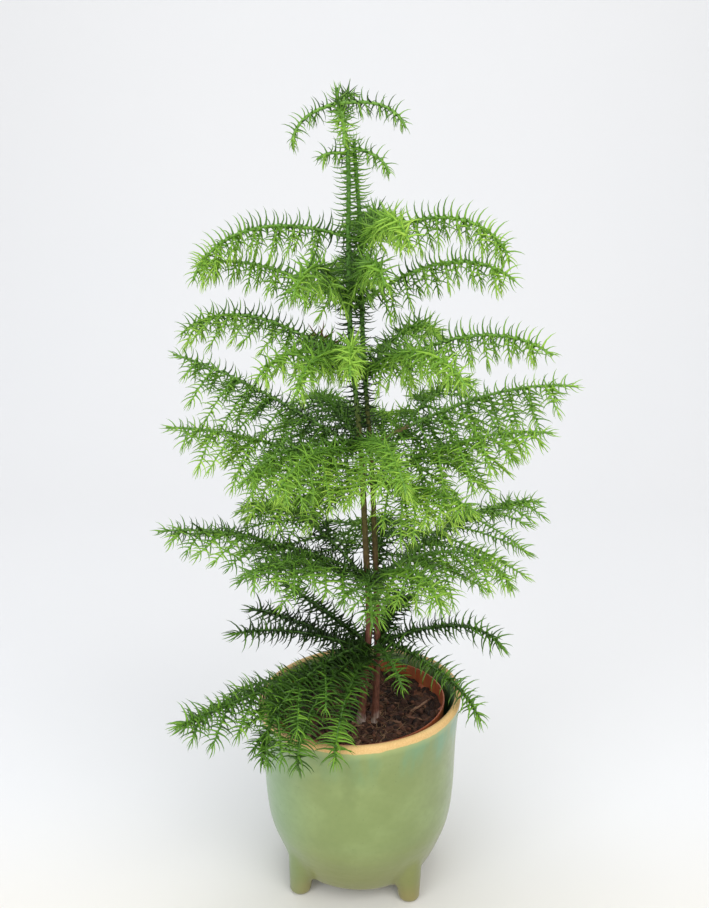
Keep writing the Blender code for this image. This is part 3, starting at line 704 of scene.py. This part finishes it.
def stem_point(stem, height):
    """The middle of a stem at a height, on a smooth curve through its path."""
    path = [AXIS + Vector((x, y, z)) * MM for z, x, y in STEMS[stem].path]
    last = len(path) - 2
    index = next((i for i in range(last) if path[i + 1].z >= height), last)
    before = path[max(index - 1, 0)]
    start = path[index]
    end = path[index + 1]
    after = path[min(index + 2, len(path) - 1)]
    part = (height - start.z) / (end.z - start.z)
    leave = (end - before) * (end.z - start.z) / (end.z - before.z)
    arrive = (after - start) * (end.z - start.z) / (after.z - start.z)
    point = (
        start * (2 * part**3 - 3 * part**2 + 1)
        + leave * (part**3 - 2 * part**2 + part)
        + end * (3 * part**2 - 2 * part**3)
        + arrive * (part**3 - part**2)
    )
    point.z = height
    return point


def stem_radius(stem, height):
    """The stem's taper, with a flare at the soil."""
    foot = STEMS[stem].path[0][0] * MM
    tip = STEMS[stem].path[-1][0] * MM
    part = (height - foot) / (tip - foot)
    taper = STEMS[stem].foot_radius * (1 - part) + STEMS[stem].tip_radius * part
    swell = GREEN_SWELL * min(max((height - GREEN_FROM) / GREEN_CHANGE, 0.0), 1.0)
    return taper + swell + STEM_FLARE * math.exp(-(height - foot) / STEM_FLARE_HEIGHT)


def limbs(name, lines, detail):
    """Round tapering limbs, each with its points and radii, bevelled on one curve."""
    curve = bpy.data.curves.new(name, "CURVE")
    curve.dimensions = "3D"
    curve.bevel_depth = 1.0
    curve.bevel_resolution = detail
    curve.use_fill_caps = True
    for points, radii in lines:
        spline = curve.splines.new("POLY")
        spline.points.add(len(points) - 1)
        for knot, point, radius in zip(spline.points, points, radii):
            knot.co = (*point, 1.0)
            knot.radius = radius
    made = bpy.data.objects.new(name, curve)
    bpy.context.scene.collection.objects.link(made)
    only(made)
    bpy.ops.object.convert(target="MESH")
    start_shaping()
    bpy.ops.mesh.remove_doubles(threshold=0.01 * MM)
    stop_shaping()
    bpy.ops.object.shade_smooth()
    return made


def carve_bark(limb, size, depth, stretch):
    """Raises ridges and flakes along a limb, longer than they are wide."""
    out = [vertex.normal.copy() for vertex in limb.data.vertices]
    for vertex, way in zip(limb.data.vertices, out):
        place = Vector((vertex.co.x, vertex.co.y, vertex.co.z / stretch)) / size
        ridge = noise.noise(place) + 0.5 * noise.noise(place * 2.3)
        vertex.co += way * ridge * depth


bark, tree, shader = finish("bark", 0.82)
where = surface(tree)
up = add_node(tree, "SeparateXYZ", {"Vector": where}).outputs["Z"]
flakes = cloudy(tree, surface(tree, stretch=(1, 1, 0.35)), 1.6 * MM, detail=6.0, rough=0.6)
blotches = cloudy(tree, where, 12 * MM, detail=3.0)
height_of = times_plus(tree, blotches, 26 * MM, plus(tree, up, -13 * MM))
colour = mixed(tree, between(tree, flakes, 0.35, 0.7), "#5f3729", "#825342")
aged = mixed(tree, between(tree, flakes, 0.3, 0.65), "#7a6156", "#b0a096")
colour = mixed(tree, between(tree, height_of, 144 * MM, 154 * MM), aged, colour)
olive = mixed(tree, between(tree, flakes, 0.35, 0.7), "#4e4723", "#6f6535")
colour = mixed(tree, between(tree, height_of, 225 * MM, 330 * MM), colour, olive)
green = mixed(tree, between(tree, flakes, 0.3, 0.7), "#456f2b", "#5f9038")
colour = mixed(tree, between(tree, height_of, 385 * MM, 440 * MM), colour, green)
tree.links.new(colour, shader.inputs["Base Color"])
relief(tree, shader, flakes, 0.5 * MM)
for side in STEMS:
    soil_line = STEMS[side].path[0][0] * MM
    low = soil_line - STEM_SUNK
    high = STEMS[side].path[-1][0] * MM
    count = round((high - low) / STEM_STEP)
    heights = [low + (high - low) * i / count for i in range(count + 1)]
    points = [stem_point(side, max(height, soil_line)) for height in heights]
    points[0].z = low
    points[1].z = low + STEM_SUNK / 2
    radii = [stem_radius(side, max(height, soil_line)) for height in heights]
    stem = limbs(side + "_stem_bark", [(points, radii)], 6)
    carve_bark(stem, 1.5 * MM, 0.28 * MM, 3.0)
    stem.data.materials.append(bark)
    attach(stem, "root")
    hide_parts(side + "_stem")


# Branches. Each whorl's limbs arch out of the stem and droop at their tips. The longest start as
# a bare woody bough. Side twigs leave them in pairs: short hanging ones on the young whorls at
# the top, long spreading ones on the grown whorls below.
# A branch has its azimuth in degrees (0 along +X, 90 along +Y), its length along the limb in
# millimetres, how steeply it leaves the stem, and how far it has bent down by its tip. A whorl's
# light is how far its green has turned from the old dark one to the bright one of new growth. Its
# hang is how steeply its side twigs hang, less so in the shade behind the stems.
Branch = namedtuple("Branch", "azimuth length rise bend")
Whorl = namedtuple("Whorl", "stem height habit light hang branches")


def branches(*rows):
    return [Branch(*row) for row in rows]


WHORLS = (
    Whorl("left", 632, "young", 0.3, 62, branches(
        (80, 48, 30, 60), (195, 49, -17, 85), (275, 49, -6, 70), (350, 54, 5, 75),
    )),
    Whorl("right", 601, "young", 0.38, 62, branches(
        (195, 28, 12, 55), (335, 33, -14, 60),
    )),
    Whorl("right", 536, "young", 0.46, 62, branches(
        (80, 123, 22, 70), (190, 139, 16, 88), (290, 104, 35, 92), (350, 124, 24, 97),
    )),
    Whorl("left", 491, "young", 0.36, 62, branches(
        (88, 128, 28, 65), (176, 118, 27, 42), (251, 127, 43, 96), (286, 100, 48, 98),
        (352, 131, 36, 77),
    )),
    Whorl("left", 447, "young", 0.48, 62, branches(
        (222, 98, 28, 82), (244, 96, 23, 89), (269, 98, 38, 95),
    )),
    Whorl("right", 438, "young", 0.46, 62, branches(
        (55, 118, 33, 80), (123, 79, 16, 16), (155, 177, 30, 72), (303, 130, 28, 69),
        (352, 149, 30, 67),
    )),
    Whorl("left", 382, "grown", 0.35, 52, branches(
        (5, 175, 27, 35), (105, 160, 7, 21), (165, 165, 29, 16), (215, 112, 11, 60),
        (240, 125, 17, 60), (283, 136, 21, 61),
    )),
    Whorl("right", 352, "grown", 0.44, 42, branches(
        (168, 112, -16, 3), (185, 163, 23, 22), (308, 116, 13, 27), (335, 151, 31, 31),
        (45, 148, 51, 78),
    )),
    Whorl("left", 275, "grown", 0.24, 16, branches(
        (150, 134, 41, 72), (187, 167, 24, 28), (222, 134, 32, 53), (272, 84, 16, 72),
    )),
    Whorl("right", 272, "grown", 0.36, 30, branches(
        (30, 172, 26, 42), (85, 143, 10, 40), (300, 105, 37, 102), (345, 125, 32, 106),
    )),
    Whorl("right", 216, "low", 0.22, 12, branches(
        (8, 113, 18, 77), (75, 114, 5, 40), (290, 56, -2, 40), (340, 108, -19, 49),
    )),
    Whorl("left", 211, "low", 0.15, 12, branches(
        (152, 112, 14, 19), (178, 109, 16, 32), (134, 107, 12, 3), (208, 164, -6, 6),
        (238, 130, 0, 94), (223, 143, 0, 94), (253, 108, -3, 84),
    )),
)
WHORL_STAGGER = 4.8 * MM
WHORL_CROWDED = 7
SIDE_TWIGS_FROM = {"young": 0, "grown": 0, "low": 140}
BOUGH_FROM = 174
BOUGH_SHARE = 0.22
BOUGH_RADIUS = 1.6 * MM
AXIS_RADIUS = 1.45 * MM
AXIS_TIP_RADIUS = 0.9 * MM
TWIG_RADIUS = 0.9 * MM
TWIG_TIP_RADIUS = 0.55 * MM
TWIG_LAST = 0.92
TWIG_SAG = 0.2
ARC_STEPS = 48
BOUGH_STEPS = 30
SHADE_LIFT = 0.9
SHADE_STRETCH = 0.3
GROWTH_SEED = 1795
UP = Vector((0.0, 0.0, 1.0))

# A habit has the first side twig's place on the branch, how far apart they stand, their greatest
# share of the branch's length, and the angle that they leave the limb at.
Habit = namedtuple("Habit", "first spacing share angle")
HABITS = {
    "young": Habit(0.16, 16.0, 0.19, 54.0),
    "grown": Habit(0.13, 16.5, 0.38, 52.0),
    "low": Habit(0.2, 24.0, 0.4, 46.0),
}
Twig = namedtuple("Twig", "whorl branch points radii along order")


def away(branch):
    """How far a branch points away behind its stem: 1 straight back, and -1 straight forward."""
    return math.sin(math.radians(branch.azimuth))


def branch_arc(whorl, index, start_radius, steps):
    """Points along a branch's limb, evenly apart, from just inside its stem to its tip."""
    branch = whorl.branches[index]
    levels = 2 if len(whorl.branches) < WHORL_CROWDED else 3
    height = whorl.height * MM + WHORL_STAGGER * (index % levels - (levels - 1) / 2)
    turn = math.radians(branch.azimuth)
    outward = Vector((math.cos(turn), math.sin(turn), 0.0))
    rise = math.radians(branch.rise)
    bend = math.radians(branch.bend)
    clear = stem_radius(whorl.stem, height) + start_radius * abs(math.sin(rise))
    point = stem_point(whorl.stem, height) + outward * clear
    points = [point.copy()]
    for i in range(steps):
        along = (i + 0.5) / steps
        lift = rise - bend * along**2
        point += (outward * math.cos(lift) + UP * math.sin(lift)) * branch.length * MM / steps
        points.append(point.copy())
    return points


def at(points, along):
    """The point and the direction at a share of the way along evenly spaced points."""
    place = min(max(along, 0.0), 1.0) * (len(points) - 1)
    index = min(int(place), len(points) - 2)
    step = points[index + 1] - points[index]
    return points[index] + step * (place - index), step.normalized()


def side_twig(whorl, branch, arc, along, way, reach, chance):
    """One side twig: it leaves the limb forwards and outwards, and sags to its tip."""
    habit = HABITS[whorl.habit]
    turn = math.radians(branch.azimuth)
    side = Vector((-math.sin(turn), math.cos(turn), 0.0))
    start, forward = at(arc, along)
    leave = math.radians(habit.angle + chance.uniform(-7, 7))
    less = 1 - SHADE_LIFT * max(away(branch), 0.0)
    hang = math.radians(whorl.hang * less + chance.uniform(-9, 9))
    out = forward * math.cos(leave) + side * way * math.sin(leave)
    out = (out * math.cos(hang) - UP * math.sin(hang)).normalized()
    sway = side * chance.uniform(-0.06, 0.06)
    points = []
    for i in range(7):
        part = i / 6
        points.append(start + out * reach * part + (sway - UP * TWIG_SAG) * reach * part**2)
    radii = [TWIG_RADIUS + (TWIG_TIP_RADIUS - TWIG_RADIUS) * i / 6 for i in range(7)]
    return Twig(whorl, branch, points, radii, along, "side")


def side_twigs(whorl, branch, arc, chance):
    """Pairs of side twigs up a limb, longest where its habit has them longest."""
    habit = HABITS[whorl.habit]
    length = branch.length * MM
    count = max(2, round((TWIG_LAST - habit.first) * length / (habit.spacing * MM)))
    if branch.length < SIDE_TWIGS_FROM[whorl.habit]:
        count = 0
    for i in range(count):
        for way in (1, -1):
            shift = 0.5 + 0.14 * way + chance.uniform(-0.12, 0.12)
            along = habit.first + (TWIG_LAST - habit.first) * (i + shift) / count
            if whorl.habit == "young":
                share = 1.0 - 0.45 * along
            else:
                share = 1.35 * (1.0 - along) ** 0.75 * min(1.0, 0.5 + along / 0.7)
            reach = habit.share * length * share * chance.uniform(0.8, 1.12)
            reach *= 1 + SHADE_STRETCH * max(away(branch), 0.0)
            yield side_twig(whorl, branch, arc, along, way, max(reach, 7 * MM), chance)


hard_parts = []
for thing in (pot, nursery, soil):
    corners = [vertex.co.copy() for vertex in thing.data.vertices]
    faces = [tuple(face.vertices) for face in thing.data.polygons]
    hard_parts.append(BVHTree.FromPolygons(corners, faces))


def is_free(start, end):
    """Whether a straight line misses both pots and the soil."""
    way = end - start
    return not any(part.ray_cast(start, way.normalized(), way.length)[0] for part in hard_parts)


twigs = []
boughs = []
for whorl in WHORLS:
    for index, branch in enumerate(whorl.branches):
        has_bough = branch.length >= BOUGH_FROM
        start_radius = BOUGH_RADIUS if has_bough else AXIS_RADIUS
        arc = branch_arc(whorl, index, start_radius, ARC_STEPS)
        slimmer = AXIS_TIP_RADIUS - start_radius
        radii = [start_radius + slimmer * (i / ARC_STEPS) ** 0.8 for i in range(ARC_STEPS + 1)]
        chance = random.Random(GROWTH_SEED + 100 * whorl.height + index)
        twigs.append(Twig(whorl, branch, arc, radii, 0.0, "axis"))
        if has_bough:
            steps = range(BOUGH_STEPS + 1)
            knots = [at(arc, BOUGH_SHARE * i / BOUGH_STEPS)[0] for i in steps]
            boughs.append((knots, [start_radius * (1.12 - 0.2 * i / BOUGH_STEPS) for i in steps]))
        for twig in side_twigs(whorl, branch, arc, chance):
            pairs = zip(twig.points, twig.points[1:])
            if all(is_free(start, end) for start, end in pairs):
                twigs.append(twig)

bough_bark = limbs("bough_bark", boughs, 4)
carve_bark(bough_bark, 1.2 * MM, 0.16 * MM, 1.0)
bough_finish, tree, shader = finish("bough_bark", 0.8)
flakes = cloudy(tree, surface(tree), 1.4 * MM, detail=6.0, rough=0.6)
colour = mixed(tree, between(tree, flakes, 0.35, 0.7), "#5c5630", "#857448")
tree.links.new(colour, shader.inputs["Base Color"])
relief(tree, shader, flakes, 0.3 * MM)
bough_bark.data.materials.append(bough_finish)
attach(bough_bark, "root")
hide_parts(*[name for name in frame["nodes"] if "_bough" in name])

SKINS = {
    ("young", "axis"): ("#5a8a2f", "#7dad42"),
    ("young", "side"): ("#7aaa3c", "#9ccb55"),
    ("grown", "axis"): ("#4f7a2c", "#6f9a3c"),
    ("grown", "side"): ("#659838", "#88b84a"),
    ("low", "axis"): ("#3e6124", "#57802f"),
    ("low", "side"): ("#4f7f30", "#6c9c3e"),
}
for kind, colours in SKINS.items():
    habit_name, order = kind
    chosen = [twig for twig in twigs if (twig.whorl.habit, twig.order) == kind]
    lines = [(twig.points, twig.radii) for twig in chosen]
    piece = limbs(f"{habit_name}_{order}_twigs", lines, 2 if order == "axis" else 0)
    skin, tree, shader = finish(f"{habit_name}_{order}_skin", 0.55)
    flecks = cloudy(tree, surface(tree), 2.5 * MM, detail=4.0)
    colour = mixed(tree, between(tree, flecks, 0.3, 0.7), *colours)
    tree.links.new(colour, shader.inputs["Base Color"])
    relief(tree, shader, flecks, 0.12 * MM)
    piece.data.materials.append(skin)
    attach(piece, "root")
    if order == "axis":
        for stem in STEMS:
            habits = [whorl.habit for whorl in WHORLS if whorl.stem == stem]
            for number, habit in enumerate(habits, 1):
                if habit == habit_name:
                    start = f"{stem}_whorl{number}_spray"
                    sprays = [name for name in frame["nodes"] if name.startswith(start)]
                    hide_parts(*sprays)


# Needles. Stiff, awl-shaped and curved in towards the twig's tip, set in a close spiral round
# every twig and round the green top of each stem. New ones are bright, and old ones dark.
SPIRAL = math.radians(137.5)
NEEDLE_WIDTH = 0.17
NEEDLE_FOOT = 0.2
# Each step of a needle: its angle from +X in degrees, its length, and how it narrows each way.
NEEDLE_ARC = (
    (91, 0.12, 0.6, 0.82),
    (81, 0.3, 0.7, 0.66),
    (66, 0.32, 0.7, 0.64),
    (48, 0.28, 0.2, 0.2),
)

# Where needles grow: their spacing along the twig, their length, how far their feet are drawn
# to the twig's two sides, and the angle that they lean from a right angle, towards the tip.
Coat = namedtuple("Coat", "spacing length spread lean")
COATS = {
    ("young", "axis"): Coat(1.15, 14.5, 0.0, -17.0),
    ("young", "side"): Coat(1.25, 11.5, 0.0, 12.0),
    ("grown", "axis"): Coat(1.1, 12.5, 0.2, -6.0),
    ("grown", "side"): Coat(1.35, 12.3, 0.45, 5.0),
    ("low", "axis"): Coat(0.82, 16.5, 0.45, -8.0),
    ("low", "side"): Coat(1.1, 13.4, 0.45, 0.0),
}
STEM_COAT = Coat(0.9, 12.5, 0.0, -14.0)
STEM_NEEDLES_FROM = 384 * MM
TONES = (
    ("deep", "#223c0d"),
    ("dark", "#395d19"),
    ("leaf", "#5b8929"),
    ("fresh", "#7aaa37"),
    ("bright", "#97c547"),
    ("lime", "#abd453"),
    ("withered", "#7b5a36"),
)
LIVE_TONES = 6
# The short inner branch whose tip has dried brown, by its whorl's height and its azimuth.
WITHERED = (438, 123)
# The youngest branches, whose needles have not grown out yet.
SMALL_BRANCH = 60
SMALL_NEEDLES = 0.72
# Needles lean in towards a twig's tip over its last stretch, and get shorter there.
TIP_CLOSING = 10.0 * MM
TIP_LEAN = 66
TIP_SHORTER = 0.44
LEAN_CHANCE = 16
# The green is brighter towards each tip. Painted shade dulls the branches behind the stems, and
# painted light brightens the branches in front of them.
AXIS_DULLER = 0.1
AXIS_TIP_LIGHT = 0.34
OUTER_TWIG_LIGHT = 0.18
SIDE_TIP_LIGHT = 0.24
SHADE = {"young": 0.04, "grown": 0.09, "low": 0.09}
TWIG_CHANCE = 0.12
NEEDLE_CHANCE = 0.28
POT_REACH = 200 * MM


def needle_shape():
    """A needle of length 1 that leaves its twig along +Z and curves to +X, three-sided."""
    bpy.ops.mesh.primitive_circle_add(vertices=3, radius=0.5, fill_type="NGON")
    needle = bpy.context.object
    start_shaping()
    bpy.ops.transform.resize(value=(NEEDLE_FOOT, 1.0, 1.0), center_override=(0, 0, 0))
    for degrees, stretch, slim, narrow in NEEDLE_ARC:
        turn = math.radians(degrees)
        step = (stretch * math.cos(turn), 0.0, stretch * math.sin(turn))
        bpy.ops.mesh.extrude_region_move(TRANSFORM_OT_translate={"value": step})
        bpy.ops.transform.resize(value=(slim, narrow, 1.0))
    bpy.ops.mesh.merge(type="CENTER")
    bpy.ops.object.mode_set(mode="OBJECT")
    bpy.ops.object.transform_apply()
    return shape_of(needle)


def draws(count, chance):
    """So many random numbers from 0 to 1."""
    return np.array([chance.random() for _ in range(count)])


def coat_twig(points, radii, coat, chance):
    """Where a twig's needles sit: each one's foot, its three ways and its share along."""
    points = np.array(points)
    steps = np.linalg.norm(np.diff(points, axis=0), axis=1)
    travelled = np.concatenate([[0.0], np.cumsum(steps)])
    total = travelled[-1]
    count = max(4, round(total / (coat.spacing * MM)))
    places = total * (np.arange(count) + 0.5) / count

    def on_twig(where):
        return np.stack([np.interp(where, travelled, points[:, i]) for i in range(3)], axis=1)

    forward = on_twig(places + 0.5 * MM) - on_twig(places - 0.5 * MM)
    forward /= np.linalg.norm(forward, axis=1, keepdims=True)
    level = np.cross(np.array([0.0, 0.0, 1.0]), forward)
    flat = np.linalg.norm(level, axis=1, keepdims=True)
    level = np.where(flat > 0.05, level / np.maximum(flat, 0.05), np.array([1.0, 0.0, 0.0]))
    above = np.cross(forward, level)
    turn = np.arange(count) * SPIRAL + chance.uniform(0, 6.28) + (draws(count, chance) - 0.5) * 0.5
    turn = turn + coat.spread * np.sin(2 * turn)
    out = above * np.cos(turn)[:, None] + level * np.sin(turn)[:, None]
    radius = np.interp(places, travelled, radii)
    foot = on_twig(places) + out * (radius * 0.55)[:, None]
    left = np.clip((total - places) / TIP_CLOSING, 0.0, 1.0)
    lean = coat.lean + TIP_LEAN * (1 - left) ** 0.65 + (draws(count, chance) - 0.5) * LEAN_CHANCE
    lean = np.radians(lean)[:, None]
    shorter = 1 - TIP_SHORTER + TIP_SHORTER * left
    length = coat.length * MM * shorter * (0.84 + 0.32 * draws(count, chance))
    tip_way = forward * np.cos(lean) - out * np.sin(lean)
    out_way = out * np.cos(lean) + forward * np.sin(lean)
    across = np.cross(out_way, tip_way) * NEEDLE_WIDTH
    ways = np.stack([tip_way, across, out_way], axis=2) * length[:, None, None]
    return foot, ways, places / total


needle = needle_shape()
dealt = {}


def deal(habit_name, tone, foot, ways):
    """Puts each needle with the others of its habit and tone."""
    for index in range(len(TONES)):
        chosen = tone == index
        if chosen.any():
            dealt.setdefault((habit_name, index), []).append((foot[chosen], ways[chosen]))


for twig in twigs:
    branch_seed = twig.branch.azimuth * 7 + twig.whorl.height * 13 + round(twig.along * 997)
    chance = random.Random(GROWTH_SEED + branch_seed)
    coat = COATS[twig.whorl.habit, twig.order]
    if twig.branch.length < SMALL_BRANCH:
        coat = coat._replace(length=coat.length * SMALL_NEEDLES)
    foot, ways, share = coat_twig(twig.points, twig.radii, coat, chance)
    if twig.order == "axis":
        light = twig.whorl.light - AXIS_DULLER + AXIS_TIP_LIGHT * share**1.5
    else:
        light = twig.whorl.light + OUTER_TWIG_LIGHT * twig.along + SIDE_TIP_LIGHT * share
    # Painted shade on the branches behind the stems, and painted light on those in front.
    light = light - SHADE[twig.whorl.habit] * away(twig.branch)
    light = light + chance.uniform(-TWIG_CHANCE, TWIG_CHANCE)
    light = light + (draws(len(share), chance) - 0.5) * NEEDLE_CHANCE
    tone = np.clip((light * LIVE_TONES).astype(int), 0, LIVE_TONES - 1)
    if (twig.whorl.height, twig.branch.azimuth) == WITHERED:
        tone[(share > 0.55) & (draws(len(share), chance) > 0.3)] = LIVE_TONES
    # No needle runs into a pot or the soil.
    if foot[:, 2].min() < POT_REACH:
        tips = foot + ways[:, :, 2] * 0.8 + ways[:, :, 0] * 0.5
        keep = np.array([is_free(Vector(start), Vector(end)) for start, end in zip(foot, tips)])
        foot, ways, tone = foot[keep], ways[keep], tone[keep]
    deal(twig.whorl.habit, tone, foot, ways)

# Each stem's green top, from old dark needles where they start to fresh ones at its tip.
for side in STEMS:
    top = STEMS[side].path[-1][0] * MM
    heights = [STEM_NEEDLES_FROM + (top - STEM_NEEDLES_FROM) * i / 120 for i in range(121)]
    points = [stem_point(side, height) for height in heights]
    radii = [stem_radius(side, height) for height in heights]
    foot, ways, share = coat_twig(points, radii, STEM_COAT, random.Random(GROWTH_SEED))
    deal("young", np.clip((share * 4.6 - 0.7).astype(int), 0, 3), foot, ways)

for (habit_name, index), groups in sorted(dealt.items()):
    tone_name, code = TONES[index]
    name = f"{habit_name}_needles_{tone_name}"
    foot = np.concatenate([group[0] for group in groups])
    ways = np.concatenate([group[1] for group in groups])
    piece = joined(name, needle, ways, foot)
    skin, tree, shader = finish(name, 0.42)
    shader.inputs["Specular IOR Level"].default_value = 0.3
    shader.inputs["Base Color"].default_value = tint(code)
    flecks = cloudy(tree, surface(tree), 3 * MM, detail=2.0)
    tree.links.new(times_plus(tree, flecks, 0.3, 0.3), shader.inputs["Roughness"])
    piece.data.materials.append(skin)
    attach(piece, "root")


# The studio. A pale sweep of paper under and behind the plant, with a painted warm glow of light
# in front and a painted cool bluish cast behind. A broad warm light over the camera's right
# shoulder, a weaker one from the left, one overhead and one for the paper.
bpy.ops.mesh.primitive_plane_add(size=6.0, location=(0, -0.9, 0))
sweep = bpy.context.object
sweep.name = "paper_sweep"
bpy.ops.object.mode_set(mode="EDIT")
bpy.ops.mesh.select_mode(type="EDGE")
bpy.ops.mesh.select_all(action="DESELECT")
bpy.ops.object.mode_set(mode="OBJECT")
for edge in sweep.data.edges:
    edge.select = all(sweep.data.vertices[index].co.y > 2.9 for index in edge.vertices)
bpy.ops.object.mode_set(mode="EDIT")
bpy.ops.mesh.extrude_region_move(TRANSFORM_OT_translate={"value": (0, 0, 3.5)})
bpy.ops.object.mode_set(mode="OBJECT")
bpy.ops.object.transform_apply()
curl = sweep.modifiers.new("Curl", "BEVEL")
curl.width = 1.2
curl.segments = 24
bpy.ops.object.modifier_apply(modifier=curl.name)
bpy.ops.object.shade_smooth()
paper, tree, shader = finish("sweep_paper", 0.9)
tone = cloudy(tree, surface(tree), 0.6, detail=1.0)
back = add_node(tree, "SeparateXYZ", {"Vector": surface(tree)}).outputs["Y"]
# Painted light: a warm glow on the paper in front, and a cool bluish cast further back.
far = mixed(tree, tone, "#e8e9ec", "#e6e8ec")
colour = mixed(tree, between(tree, back, -0.28, 0.12), "#e9e4da", far)
tree.links.new(colour, shader.inputs["Base Color"])
sweep.data.materials.append(paper)
sweep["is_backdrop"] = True

world = bpy.data.worlds.new("soft_room")
bpy.context.scene.world = world
world.use_nodes = True
room_light = world.node_tree.nodes["Background"].inputs
room_light["Color"].default_value = (1.0, 0.99, 0.97, 1.0)
room_light["Strength"].default_value = 0.5

# Each light has its place, the point that it faces, its width and its power in watts.
LIGHTS = (
    ("key", (1.1, -2.0, 2.2), (0, 0, 0.35), 2.3, 46, (1.0, 0.98, 0.94)),
    ("fill", (-1.3, -1.9, 1.3), (0, 0, 0.25), 1.6, 25, (0.95, 0.975, 1.0)),
    ("top", (-0.1, 0.3, 2.6), (0, 0, 0.3), 1.4, 18, (1.0, 1.0, 1.0)),
    ("backdrop", (0.0, 0.9, 2.7), (0, 2.8, 0.8), 1.6, 4, (0.98, 0.99, 1.0)),
)
for name, place, aim, width, power, colour in LIGHTS:
    facing = (Vector(aim) - Vector(place)).to_track_quat("-Z", "Y").to_euler()
    bpy.ops.object.light_add(type="AREA", location=place, rotation=facing)
    lamp = bpy.context.object
    lamp.name = name
    lamp.data.size = width
    lamp.data.energy = power
    lamp.data.color = colour
bpy.context.scene.view_settings.view_transform = "Standard"

visual_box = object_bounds()
[[list(corner) for corner in box] for box in (cad_box, visual_box)]
